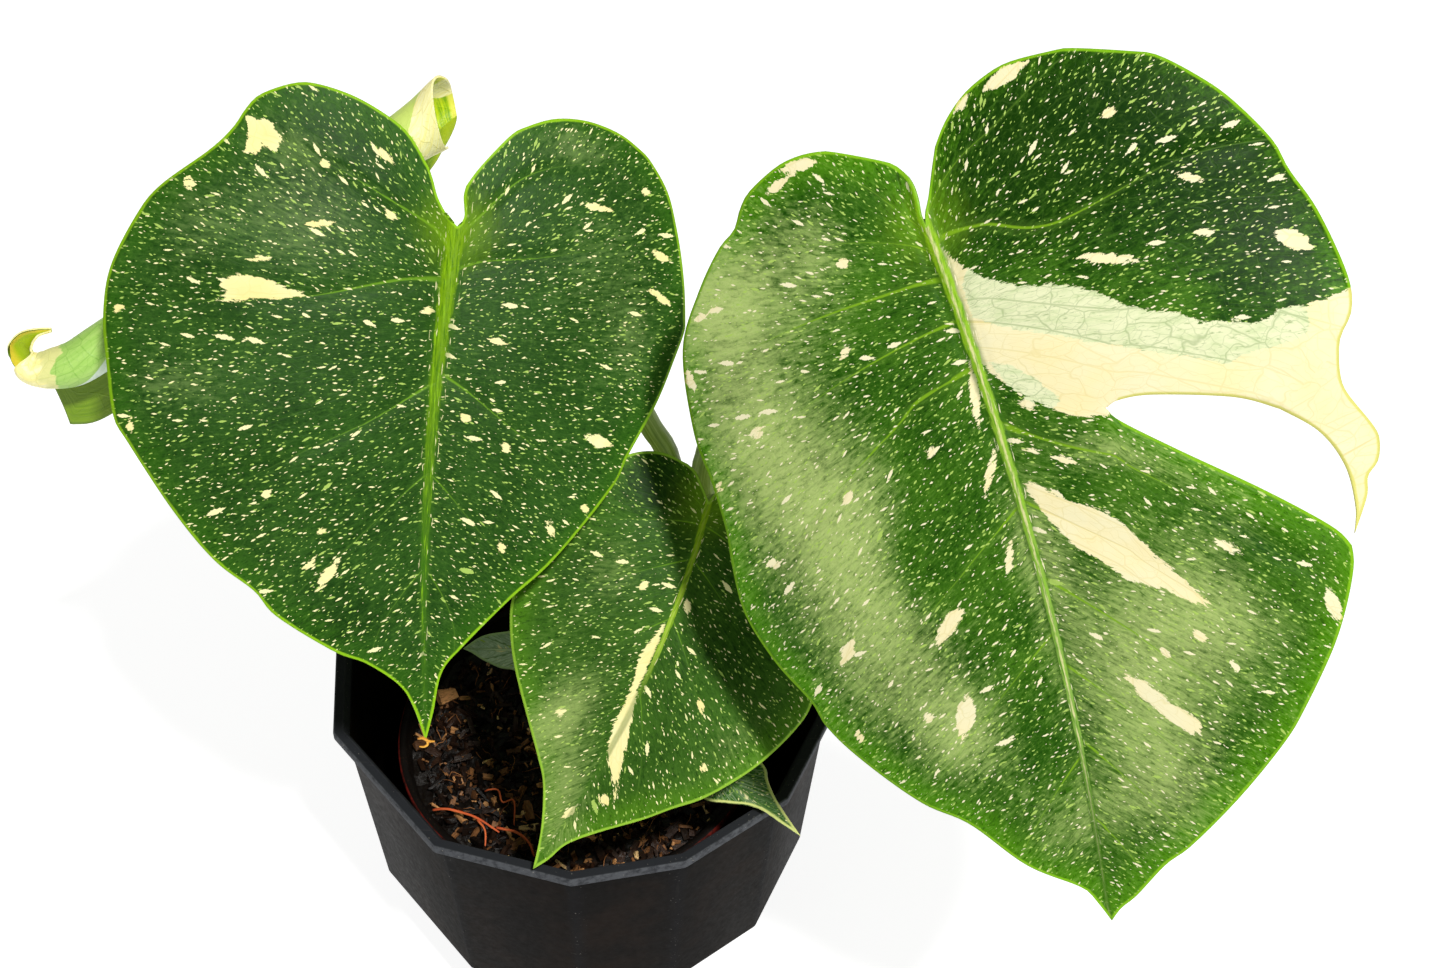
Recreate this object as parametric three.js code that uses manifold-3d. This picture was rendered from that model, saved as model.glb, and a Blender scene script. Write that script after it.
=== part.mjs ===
// Potted creme brulee monstera: a young variegated aroid in a black nursery pot,
// dropped into a twelve-sided black plastic cover pot.
//
// Millimetres, +Z up. The origin is the middle of the cover pot's foot, on the surface it
// stands on. -Y is the front of the plant, where the leaf tips hang, and +X is its right.
import * as THREE from 'three';
import { mergeVertices } from 'three/addons/utils/BufferGeometryUtils.js';
import Module from 'manifold-3d';

const wasm = await Module();
wasm.setup();

// Driving dimensions

const GAP = 0.35;                 // clearance between pieces that touch

const COVER_POT = {
  height: 130,
  rimRadius: 100,                 // centre to corner, 200 mm across the corners
  lipWidth: 4,
  lipHeight: 4,
  shoulderRadius: 95.3,           // outside of the wall, just under the lip
  creaseRadius: 89.2,             // where the wall turns in to the foot
  creaseHeight: 30.3,
  footRadius: 76.4,
  footHeight: 8,
  wall: 2.2,
  floor: 3,
  // bearings of the twelve corners, in degrees from +X; the moulding is a little uneven
  corners: [-156.5, -118.4, -88.7, -65, -38.2, -8, 22.2, 52.4, 82.5, 112.7, 142.9, 173.1],
};

const GROW_POT = {
  centre: [-3.5, -7],
  rimZ: 94,
  rimRadius: 71.8,
  baseRadius: 55,
  wall: 1.2,
  lipWidth: 2.4,
  lipHeight: 3.2,
  drainRadius: 9,
};

const SOIL = {
  levelZ: 85,                     // mean height of the mix
  relief: 2.6,                    // how far the surface rolls up and down
  chips: 54,                      // bark and coir chips fused to the surface
  chipLength: [6, 13],
  chipWidth: [3, 6],
  chipThickness: [1.6, 3],
};

const WELD = 0.001;               // points nearer than this are one point

const BLADE = 0.8;                // thickness of a leaf blade

// Each leaf is drawn flat in millimetres, u to the right of the midrib and v from the petiole
// towards the tip, and then laid on its own gently bowed surface between base and tip.
const LEAVES = {
  left: {
    base: [-38, 25, 318], tip: [-45, -86, 190], faces: [0.32, -0.72, 0.61],
    bow: -5, tipU: 1.5, rise: 0.14, drop: [0.0027, 0.0032], arch: 0.0008, archFrom: 70,
    ripple: 2.5, wave: 62, phase: [0.6, 2.4], half: 100,
    rib: 2.6, ribFrom: 5, rows: 24, columns: 7,
  },
  right: {
    base: [107, -15, 355], tip: [173, -148, 198], faces: [-0.27, -0.79, 0.55],
    bow: 7, tipU: -1.8, rise: 0.14, drop: [0.0028, 0.0023], arch: 0.0006, archFrom: 90,
    ripple: 3, wave: 75, phase: [1, 2.8], half: 110,
    rib: 3, ribFrom: 4, rows: 28, columns: 8,
    slitVein: 52, slitRows: 16, slitColumns: 3, tailColumns: 2, tailRows: 8,
  },
  middle: {
    base: [46, -6, 226], tip: [-10, -101, 140], faces: [0.02, -0.68, 0.73],
    bow: 7, tipU: 0.1, rise: 0.14, drop: [0.0032, 0.0032], arch: 0.0009, archFrom: 55,
    ripple: 1.5, wave: 45, phase: [0.4, 2], half: 55,
    rib: 1.8, ribFrom: 3, rows: 20, columns: 6,
  },
  youngBack: {
    base: [-5, 18, 112], tip: [-53, 23, 105], faces: [0, -0.5, 0.86],
    bow: 0, tipU: -0.5, rise: 0.2, drop: [0.012, 0.012], arch: 0.003, archFrom: 25,
    ripple: 0.5, wave: 25, phase: [0.4, 2], half: 18,
    rib: 0.8, ribFrom: 1.4, rows: 9, columns: 4,
  },
  youngFront: {
    base: [41, -40, 128], tip: [81, -82, 138], faces: [0.1, -0.5, 0.86],
    bow: 0, tipU: 0.5, rise: 0.2, drop: [0.01, 0.01], arch: 0.003, archFrom: 25,
    ripple: 0.5, wave: 30, phase: [0.4, 2], half: 20,
    rib: 0.8, ribFrom: 1.4, rows: 9, columns: 4,
  },
};

// The margins run from the notch at the petiole round each lobe to the tip.
const MARGINS = {
  left: {
    leftNotch: [[0.2, -0.4], [-3.3, -3.7], [-6.6, -8.9], [-8.5, -14.5], [-10, -18.3]],
    leftEdge: [
      [-10, -18.3], [-16.3, -27.7], [-22.6, -32.8], [-34.4, -38.5], [-46.4, -41.3],
      [-53.9, -40.8], [-63.8, -36.3], [-68.1, -31.4], [-71.7, -25.1], [-78.3, -17.5],
      [-92.7, -4.8], [-99.4, 5.2], [-106.3, 22], [-107.7, 37.2], [-106.1, 51.2],
      [-103.2, 68.1], [-98.3, 76.5], [-83.7, 97.3], [-70.6, 112.1], [-57.8, 121.4],
      [-50.5, 129.3], [-31.4, 140.6], [-20.7, 144.5], [-9.1, 152], [-3.7, 159.7], [1.5, 171.7],
    ],
    rightNotch: [[0.2, -0.4], [1.6, -1.8], [2.4, -4], [2.2, -6.8], [1.9, -10.4], [2.5, -13.7]],
    rightEdge: [
      [2.5, -13.7], [6.8, -20.4], [16.2, -31.6], [21.5, -35.2], [31.2, -39], [42.4, -39.6],
      [53.7, -37], [61.7, -32.6], [66.3, -28.7], [72.6, -19.4], [76.4, -7.5], [81.3, 11.6],
      [83, 24.6], [82.4, 29.2], [78.6, 38.7], [72.5, 53.4], [63.9, 70.7], [58.3, 83.2],
      [39.1, 107.8], [25, 121.9], [11.3, 137.8], [4.8, 147.3], [3.1, 161.4], [1.5, 171.7],
    ],
  },
  right: {
    leftNotch: [[0, 0], [-0.8, -3], [-0.5, -7.7], [-0.8, -11.8], [-1.6, -14.8]],
    leftEdge: [
      [-1.6, -14.8], [-3.6, -18.1], [-6.8, -21.2], [-21.5, -28.7], [-26.8, -30.3],
      [-33.5, -30.7], [-40.5, -29.4], [-50.4, -24.8], [-54.7, -20.4], [-58.1, -15],
      [-64.5, -10.8], [-74.5, 0.1], [-85.4, 16.4], [-90.5, 42.2], [-88.5, 59.2],
      [-87.3, 74.2], [-88.6, 85.6], [-89.8, 103], [-84.6, 119.6], [-75.3, 134.3],
      [-72.5, 142.2], [-64.6, 153.6], [-48.7, 171.7], [-35.5, 181.5], [-22, 198.2],
      [-7.9, 208.9], [-4.6, 214.5], [-1.8, 222],
    ],
    rightNotch: [[0, 0], [0.8, -3.2], [2.3, -6.9], [5, -13.7], [8.2, -21.3]],
    upperEdge: [
      [8.2, -21.3], [12.9, -27.5], [19.6, -33.2], [26.9, -36.7], [34.9, -38.6], [47.2, -38],
      [53.1, -37.1], [68.8, -31.3], [75.9, -27.9], [85.3, -18.8], [92.4, -9.9], [100.2, 4],
      [102.7, 13.5], [107.5, 26.9], [110.8, 46.1], [109.6, 56.1], [105.1, 62.4],
      [103.7, 65.8],
    ],
    // the split between the second and third side vein, which stays open to the margin
    slitStart: [37.9, 65.5],
    slitTop: [[41.8, 64.1], [51.8, 65.1], [72.9, 71.5], [84.2, 78.2]],
    // the strip above the split hangs on as a narrow tail
    tailInside: [[84.2, 78.2], [93.2, 87.7], [97.7, 99.2], [97.7, 111], [95.6, 118.3]],
    tailOutside: [
      [103.7, 65.8], [102.4, 72.5], [102.9, 78.6], [107.8, 90.3], [108.3, 95.2],
      [106.5, 100.3], [102.9, 103.7], [101.3, 109.1], [95.6, 118.3],
    ],
    slitBottom: [[40.4, 69.8], [54.1, 82], [74.3, 99.4], [90, 114.7], [94, 121.4]],
    lowerEdge: [
      [94, 121.4], [93.1, 127.4], [88.1, 139], [81.4, 150.7], [70.1, 165.9], [62.3, 174.5],
      [46.2, 188.1], [28.4, 200.9], [19.3, 205.8], [8.1, 214.6], [2.2, 218.2], [-1.8, 222],
    ],
  },
  middle: {
    leftNotch: [[0, 0], [-4.1, -3.8], [-8.6, -7.5], [-12.3, -8.8]],
    leftEdge: [
      [-12.3, -8.8], [-23, -8.4], [-32.1, -3.2], [-39.7, 6.8], [-44.8, 22.7], [-47.7, 40.7],
      [-47.6, 54.9], [-45.7, 64.5], [-37.9, 78.4], [-22.9, 96.4], [-15.2, 105.5],
      [-9.5, 113.3], [-3.4, 128], [0.1, 142.1],
    ],
    rightNotch: [[0, 0], [0.6, -3.9], [1.8, -7.7], [4, -10.5]],
    rightEdge: [
      [4, -10.5], [10.8, -12.6], [20.6, -10.6], [32.8, -2.9], [44.3, 9], [54.4, 23.6],
      [59.6, 36.4], [62.8, 48.7], [61.5, 58.7], [56.9, 71.2], [50.7, 82.4], [42.4, 94],
      [34.5, 101.6], [26.8, 109.6], [15.5, 119.8], [7, 128.8], [3.6, 136.4], [0.1, 142.1],
    ],
  },
  youngBack: {
    leftNotch: [[0, 0], [-1, -1.2], [-2.4, -1.6]],
    leftEdge: [[-2.4, -1.6], [-5.1, 1.1], [-8.9, 8.6], [-9.8, 18.9], [-7.9, 28.9],
      [-5.8, 40.8], [-0.5, 49.3]],
    rightNotch: [[0, 0], [1, -1.3], [2.2, -1.8]],
    rightEdge: [[2.2, -1.8], [5, -0.6], [9, 5.2], [10.6, 15.2], [8, 27.1], [7.3, 32.3],
      [4.1, 40], [1.2, 45.1], [-0.5, 49.3]],
  },
  youngFront: {
    leftNotch: [[0, 0], [-1, -1.4], [-2.4, -1.8]],
    leftEdge: [[-2.4, -1.8], [-4.5, -0.1], [-10, 8.1], [-11.1, 20.8], [-7.2, 28.9],
      [-3.2, 35.4], [-1, 41.5], [-0.5, 48.9], [0.5, 59]],
    rightNotch: [[0, 0], [1.4, -1.4], [3, -1.4]],
    rightEdge: [[3, -1.4], [6.8, 2.3], [12.7, 13.9], [12.3, 29.8], [8.5, 35.9], [5.5, 42.1],
      [2.9, 50.3], [0.5, 59]],
  },
};

// The newest leaf is still rolled into a horn that lies behind the left leaf. Its axis runs
// from the open mouth beside the notch to the tip, which hooks upwards and back.
const HORN = {
  axis: [
    [-50.2, 86, 320.8], [-57, 81.3, 316.6], [-84, 63.2, 304.4], [-110.2, 45.8, 293.2],
    [-137, 27.4, 281.6], [-160.6, 10.9, 271.5], [-167.6, 6.9, 268.5], [-171.2, 5.7, 267.7],
    [-175, 5, 267.2], [-179, 4.4, 267], [-182.9, 4.2, 267.9], [-186, 4.7, 270.9],
    [-186.2, 6.1, 274.9], [-184, 7.7, 278], [-180, 8.9, 280.2], [-175, 9.6, 281],
  ],
  // these six are read at the points of the axis; start and sweep are degrees round it from
  // its back, and hemLean is how far the hem of the flap leans towards the tip
  radius: [12.3, 10.6, 9.1, 8.5, 8.3, 8.3, 8.1, 7.9, 7.4, 6.6, 5.8, 4.9, 4.2, 3, 1.3, 0.7],
  start: [0, 0, 0, 0, 0, 0, 0, 0, 2, 8, 20, 50, 75, 75, 70, 70],
  sweep: [275, 290, 310, 310, 310, 310, 310, 308, 302, 296, 290, 250, 150, 140, 130, 130],
  flap: [8, 13, 19, 20, 21, 21.5, 20.5, 19.5, 5, 0.4, 0.4, 0.3, 0.3, 0.2, 0.2, 0.2],
  hemLean: [8, 5, 0, 0, 0, 0, 2.5, 5.5, 4, 0, 0, 0, 0, 0, 0, 0],
  // the shares of the axis at which the sheet has a row of points
  stations: [
    0, 0.01, 0.02, 0.035, 0.05, 0.07, 0.1, 0.14, 0.2, 0.28, 0.36, 0.44, 0.52, 0.6, 0.67, 0.73,
    0.77, 0.8, 0.817, 0.83, 0.845, 0.86, 0.872, 0.884, 0.896, 0.91, 0.925, 0.94, 0.955, 0.97,
    0.985, 1,
  ],
  towardsFront: [0, -0.71, 0.71],
  hang: [0.03, -0.25, -0.97],
  mouthTop: 7.5,                  // how far the top of the mouth reaches out past its middle
  mouthBack: 3,
  lipDown: 4,                     // how far the top lip folds down, and towards the front
  lipForward: 3,
  columns: 14,
};

const STEM = {
  path: [[22, 20, 44], [22, 22, 70], [23, 24, 95], [26, 27, 118], [25, 30, 142]],
  radius: [5, 7.5, 8.5, 7.5, 5.5],
  roots: [
    { path: [[22, 20, 62], [6, 12, 56], [-14, 4, 44], [-24, -6, 26]], radius: [3, 2.6, 2, 1.2] },
    { path: [[22, 22, 58], [34, 10, 48], [38, -8, 34], [30, -26, 22]], radius: [3, 2.4, 1.9, 1.1] },
    { path: [[22, 22, 60], [26, 36, 50], [18, 44, 32], [6, 40, 18]], radius: [2.8, 2.4, 1.8, 1.1] },
    { path: [[22, 20, 54], [14, 22, 40], [12, 14, 26], [16, 2, 14]], radius: [2.8, 2.2, 1.7, 1] },
  ],
};

// Petioles run from the stem to the notch of their blade, with a sheath at the foot.
const PETIOLES = {
  left: {
    path: [[17, 22, 116], [18, 22, 142], [26, 22, 168], [32.5, 23.5, 196], [30, 25, 219],
      [23.8, 24, 234], [18.2, 24, 248], [9, 28, 268], [-6, 34, 285], [-24, 34, 299]],
    radius: [5.2, 4.9, 4.7, 4.5, 4.3, 4.2, 4.1, 4, 3.7, 3.4, 3.3],
  },
  right: {
    path: [[35, 29, 118], [42, 30, 155], [45.5, 25, 190], [44, 21, 214], [49.5, 19, 240],
      [66, 16, 276], [84, 11, 312], [98, 3, 338]],
    radius: [6.2, 5.8, 5.4, 5.2, 4.8, 4.2, 3.8, 3.6, 3.8],
  },
  middle: {
    path: [[31, 15.5, 104], [37, 14, 140], [43, 14, 172], [47.5, 12, 198], [48, 6, 214]],
    radius: [4.4, 3.8, 3.2, 2.8, 2.6, 2.6],
  },
  rolled: {
    path: [[25, 30.5, 142.6], [19, 38, 163], [-2, 50, 194], [-26, 64, 222], [-48, 78, 246],
      [-61, 89, 268], [-67, 92, 288], [-68, 88, 300]],
    radius: [5, 4.3, 3.7, 3.3, 3, 2.8, 2.7, 2.7, 2.8],
  },
  youngBack: {
    path: [[10, 31, 78], [7, 29, 92], [1, 23, 103]],
    radius: [1.9, 1.7, 1.4, 1.2],
  },
  youngFront: {
    path: [[34, -16, 78], [34.5, -20, 96], [38, -31, 116]],
    radius: [1.9, 1.7, 1.4, 1.2],
  },
};

// Thin orange feeder roots that lie bare on the mix at the front.
const ROOTLETS = [
  { path: [[-54, -46, 90], [-48, -48, 92.4], [-40, -52, 91.5], [-33, -56, 92.4], [-26, -62, 90.5]],
    radius: 0.9 },
  { path: [[-31, -57, 92], [-24, -58, 93.2], [-18, -62, 92.4], [-13, -67.5, 91]], radius: 0.7 },
  { path: [[-33, -56, 91.5], [-36, -61, 92.6], [-35, -65.5, 91]], radius: 0.6 },
];

// Materials

const PAINT = {
  coverPot: { color: 0x26272a, roughness: 0.5 },
  growPot: { color: 0x2a1512, roughness: 0.6 },
  soil: { color: 0x2a1d14, roughness: 0.95 },
  stem: { color: 0x5d7a34, roughness: 0.55 },
  petiole: { color: 0x7d9438, roughness: 0.5 },
  leafDark: { color: 0x24541f, roughness: 0.4 },
  leafFresh: { color: 0x4f8a24, roughness: 0.4 },
  leafMiddle: { color: 0x35662a, roughness: 0.45 },
  leafRolled: { color: 0xc9d67c, roughness: 0.5 },
  leafSilver: { color: 0x6f9180, roughness: 0.5 },
  rootlet: { color: 0xb8642c, roughness: 0.7 },
};

// Small helpers

// a repeatable random draw between 0 and 1
function seeded(seed) {
  let state = seed;
  return () => {
    state = (state * 1664525 + 1013904223) % 4294967296;
    return state / 4294967296;
  };
}

const mix = (a, b, t) => a + (b - a) * t;
const vec = (point) => new THREE.Vector3(...point);
const flat = (points) => new THREE.SplineCurve(points.map((p) => new THREE.Vector2(...p)));

// reads a list of values as one smooth run, with t from 0 to 1
function along(values, t) {
  const place = t * (values.length - 1);
  const before = Math.min(Math.floor(place), values.length - 2);
  return mix(values[before], values[before + 1], place - before);
}

// vertices and triangles of a closed body, turned so that its faces point out
function closedGeometry(points, triangles) {
  let volume = 0;
  for (const [a, b, c] of triangles) {
    volume += points[a].dot(new THREE.Vector3().crossVectors(points[b], points[c]));
  }
  const outward = volume < 0 ? triangles.map(([a, b, c]) => [a, c, b]) : triangles;
  const geometry = new THREE.BufferGeometry();
  const positions = new Float32Array(points.flatMap((p) => [p.x, p.y, p.z]));
  geometry.setAttribute('position', new THREE.BufferAttribute(positions, 3));
  geometry.setIndex(outward.flat());
  return geometry;
}

// welds points that coincide and drops triangles that collapse
function weld(points, triangles) {
  const seen = new Map();
  const kept = [];
  const slot = points.map((p) => {
    const key = [p.x, p.y, p.z].map((value) => Math.round(value * 500)).join(' ');
    if (!seen.has(key)) {
      seen.set(key, kept.length);
      kept.push(p);
    }
    return seen.get(key);
  });
  const whole = triangles
    .map((corners) => corners.map((corner) => slot[corner]))
    .filter(([a, b, c]) => a !== b && b !== c && c !== a);
  return { points: kept, triangles: whole };
}

// gives an open sheet of triangles its thickness: above and below are offsets for each point,
// both faces keep the same triangles, and a wall follows the free edge
function thicken(points, triangles, above, below) {
  const count = points.length;
  const top = points.map((p, i) => p.clone().add(above[i]));
  const bottom = points.map((p, i) => p.clone().add(below[i]));
  const edges = new Set(triangles.flatMap(([a, b, c]) => [`${a} ${b}`, `${b} ${c}`, `${c} ${a}`]));
  const faces = [...triangles, ...triangles.map(([a, b, c]) => [a + count, c + count, b + count])];
  for (const edge of edges) {
    const [from, to] = edge.split(' ').map(Number);
    if (!edges.has(`${to} ${from}`)) {
      faces.push([from, from + count, to], [to, from + count, to + count]);
    }
  }
  return closedGeometry([...top, ...bottom], faces);
}

// manifold solids for joins and cuts
function toSolid(geometry) {
  const bare = geometry.clone();
  bare.deleteAttribute('normal');
  bare.deleteAttribute('uv');
  const merged = mergeVertices(bare, WELD);
  return new wasm.Manifold(new wasm.Mesh({
    numProp: 3,
    vertProperties: new Float32Array(merged.attributes.position.array),
    triVerts: new Uint32Array(merged.index.array),
  }));
}

function toGeometry(solid) {
  const mesh = solid.getMesh();
  const geometry = new THREE.BufferGeometry();
  geometry.setAttribute('position', new THREE.BufferAttribute(mesh.vertProperties, 3));
  geometry.setIndex(new THREE.BufferAttribute(mesh.triVerts, 1));
  return geometry;
}

// a round stem of changing radius along a smooth path, with blunt ends
function taperedStem(path, radius, steps, sides, grow = 0) {
  const curve = new THREE.CatmullRomCurve3(path.map(vec), false, 'centripetal');
  const frames = curve.computeFrenetFrames(steps, false);
  const points = [];
  const triangles = [];
  for (let i = 0; i <= steps; i += 1) {
    const t = i / steps;
    const centre = curve.getPointAt(t);
    const size = along(radius, t) + grow;
    for (let j = 0; j < sides; j += 1) {
      const turn = (j / sides) * Math.PI * 2;
      points.push(centre.clone()
        .addScaledVector(frames.normals[i], Math.cos(turn) * size)
        .addScaledVector(frames.binormals[i], Math.sin(turn) * size));
    }
  }
  for (let i = 0; i < steps; i += 1) {
    for (let j = 0; j < sides; j += 1) {
      const a = i * sides + j;
      const b = i * sides + ((j + 1) % sides);
      triangles.push([a, b, a + sides], [b, b + sides, a + sides]);
    }
  }
  const last = steps * sides;
  for (let j = 1; j < sides - 1; j += 1) {
    triangles.push([0, j + 1, j], [last, last + j, last + j + 1]);
  }
  return closedGeometry(points, triangles);
}

// Leaves

// the frame of a blade: along runs from the notch to the tip, out is its upper side
function leafFrame(leaf) {
  const base = vec(leaf.base);
  const alongRib = vec(leaf.tip).sub(base);
  const length = alongRib.length();
  alongRib.normalize();
  const out = vec(leaf.faces);
  out.addScaledVector(alongRib, -out.dot(alongRib)).normalize();
  const across = new THREE.Vector3().crossVectors(out, alongRib);
  return { base, length, alongRib, across, out };
}

// sideways place of the midrib, which bows a little between notch and tip
function ribOffset(leaf, length, v) {
  const t = Math.min(Math.max(v / length, 0), 1);
  return leaf.bow * 4 * t * (1 - t) + leaf.tipU * t * t;
}

// height of the blade above its flat plan: a shallow valley at the midrib, sides that turn
// down, a tip that droops and a margin that ripples
function bladeHeight(leaf, length, u, v) {
  const offset = u - ribOffset(leaf, length, v);
  const side = offset < 0 ? 0 : 1;
  const away = Math.sqrt(offset * offset + 36) - 6;
  const ripple = Math.sin((2 * Math.PI * v) / leaf.wave + leaf.phase[side]);
  return leaf.rise * away - leaf.drop[side] * away * away
    - leaf.arch * (v - leaf.archFrom) ** 2
    + leaf.ripple * (away / leaf.half) ** 2 * ripple;
}

// a patch of blade between an inner and an outer line: its rows follow the side veins, and
// the first and last row take the shape of the edge that they run along
function bladePatch({ inner, outer, firstRow, lastRow, rows, columns }) {
  const bendOf = (row, s) => row(s).sub(row(0).lerp(row(1), s));
  const grid = [];
  for (let i = 0; i <= rows; i += 1) {
    const t = i / rows;
    const line = [];
    for (let j = 0; j <= columns; j += 1) {
      const s = j / columns;
      const point = inner(t).lerp(outer(t), s);
      point.addScaledVector(bendOf(firstRow, s), (1 - t) ** 3);
      if (lastRow) point.addScaledVector(bendOf(lastRow, s), t ** 3);
      line.push(point);
    }
    grid.push(line);
  }
  return grid;
}

// an even walk along a drawn line
function walk(points) {
  const line = flat(points);
  return (s) => line.getPointAt(s);
}

// a row that goes straight from the midrib to an inner corner of the margin in its first
// columns, and then along one side of that corner
function walkBeside(ribPoint, side, share) {
  const line = flat(side);
  return (s) => (s <= share
    ? ribPoint.clone().lerp(line.getPointAt(0), s / share)
    : line.getPointAt((s - share) / (1 - share)));
}

// the patches that make up one blade, the left half first
function bladePatches(leaf, length, margins) {
  const { rows, columns, ribFrom } = leaf;
  const tipV = margins.leftEdge[margins.leftEdge.length - 1][1];
  const ribPoint = (v) => new THREE.Vector2(ribOffset(leaf, length, v), v);
  const rib = (from, to, pace) => (t) => ribPoint(mix(from, to, mix(t, t ** pace, 0.9)));
  const beside = (v, side, shared) => walkBeside(ribPoint(v), side, shared / columns);
  const wholeRib = rib(ribFrom, tipV, 2.4);
  const left = {
    inner: wholeRib, outer: walk(margins.leftEdge),
    firstRow: beside(ribFrom, margins.leftNotch, 1), rows, columns,
  };
  if (!margins.slitStart) {
    const right = {
      ...left, outer: walk(margins.rightEdge), firstRow: beside(ribFrom, margins.rightNotch, 1),
    };
    return [left, right];
  }
  const { slitVein, slitRows, slitColumns, tailColumns, tailRows } = leaf;
  const upperRib = rib(ribFrom, slitVein, 1.6);
  const lowerRib = rib(slitVein, tipV, 1);
  const upperShare = slitRows / rows;
  left.inner = (t) => (t <= upperShare
    ? upperRib(t / upperShare)
    : lowerRib((t - upperShare) / (1 - upperShare)));
  const shareOfEdge = 1 - tailColumns / slitRows;
  const upperEdge = walk(margins.upperEdge);
  const tailInside = walk(margins.tailInside);
  const tailOutside = walk(margins.tailOutside);
  const upper = {
    inner: upperRib,
    outer: (t) => (t <= shareOfEdge
      ? upperEdge(t / shareOfEdge)
      : tailOutside(0).lerp(tailInside(0), (t - shareOfEdge) / (1 - shareOfEdge))),
    firstRow: beside(ribFrom, margins.rightNotch, 1),
    lastRow: beside(slitVein, [margins.slitStart, ...margins.slitTop], slitColumns),
    rows: slitRows, columns,
  };
  const tail = {
    inner: tailInside, outer: tailOutside,
    firstRow: (s) => tailInside(0).lerp(tailOutside(0), s),
    rows: tailRows, columns: tailColumns,
  };
  const lower = {
    inner: lowerRib, outer: walk(margins.lowerEdge),
    firstRow: beside(slitVein, [margins.slitStart, ...margins.slitBottom], slitColumns),
    rows: rows - slitRows, columns,
  };
  return [left, upper, tail, lower];
}

function bladeGeometry(leaf, margins, grow = 0) {
  const frame = leafFrame(leaf);
  const points = [];
  const triangles = [];
  const ribs = [];
  bladePatches(leaf, frame.length, margins).forEach((patch, index) => {
    const grid = bladePatch(patch);
    const first = points.length;
    const width = patch.columns + 1;
    grid.forEach((line, i) => line.forEach(({ x: u, y: v }, j) => {
      points.push(frame.base.clone()
        .addScaledVector(frame.across, u)
        .addScaledVector(frame.alongRib, v)
        .addScaledVector(frame.out, bladeHeight(leaf, frame.length, u, v)));
      const onRib = Math.abs(u - ribOffset(leaf, frame.length, v)) < 0.01;
      ribs.push(onRib ? Math.max(0, 1 - v / frame.length) : 0);
      if (i > 0 && j > 0) {
        const d = first + i * width + j;
        const [a, b, c] = [d - width - 1, d - width, d - 1];
        const shorterIsAD = points[a].distanceTo(points[d]) < points[b].distanceTo(points[c]);
        const cell = shorterIsAD ? [[a, c, d], [a, d, b]] : [[a, c, b], [b, c, d]];
        triangles.push(...(index === 0 ? cell : cell.map(([p, q, r]) => [p, r, q])));
      }
    }));
  });
  const sheet = weld(points, triangles);
  const ribOf = new Map(points.map((p, i) => [p, ribs[i]]));
  const half = BLADE / 2 + grow;
  const above = sheet.points.map(() => frame.out.clone().multiplyScalar(half));
  const below = sheet.points.map((p) => frame.out.clone()
    .multiplyScalar(-half - leaf.rib * ribOf.get(p)));
  return thicken(sheet.points, sheet.triangles, above, below);
}

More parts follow.
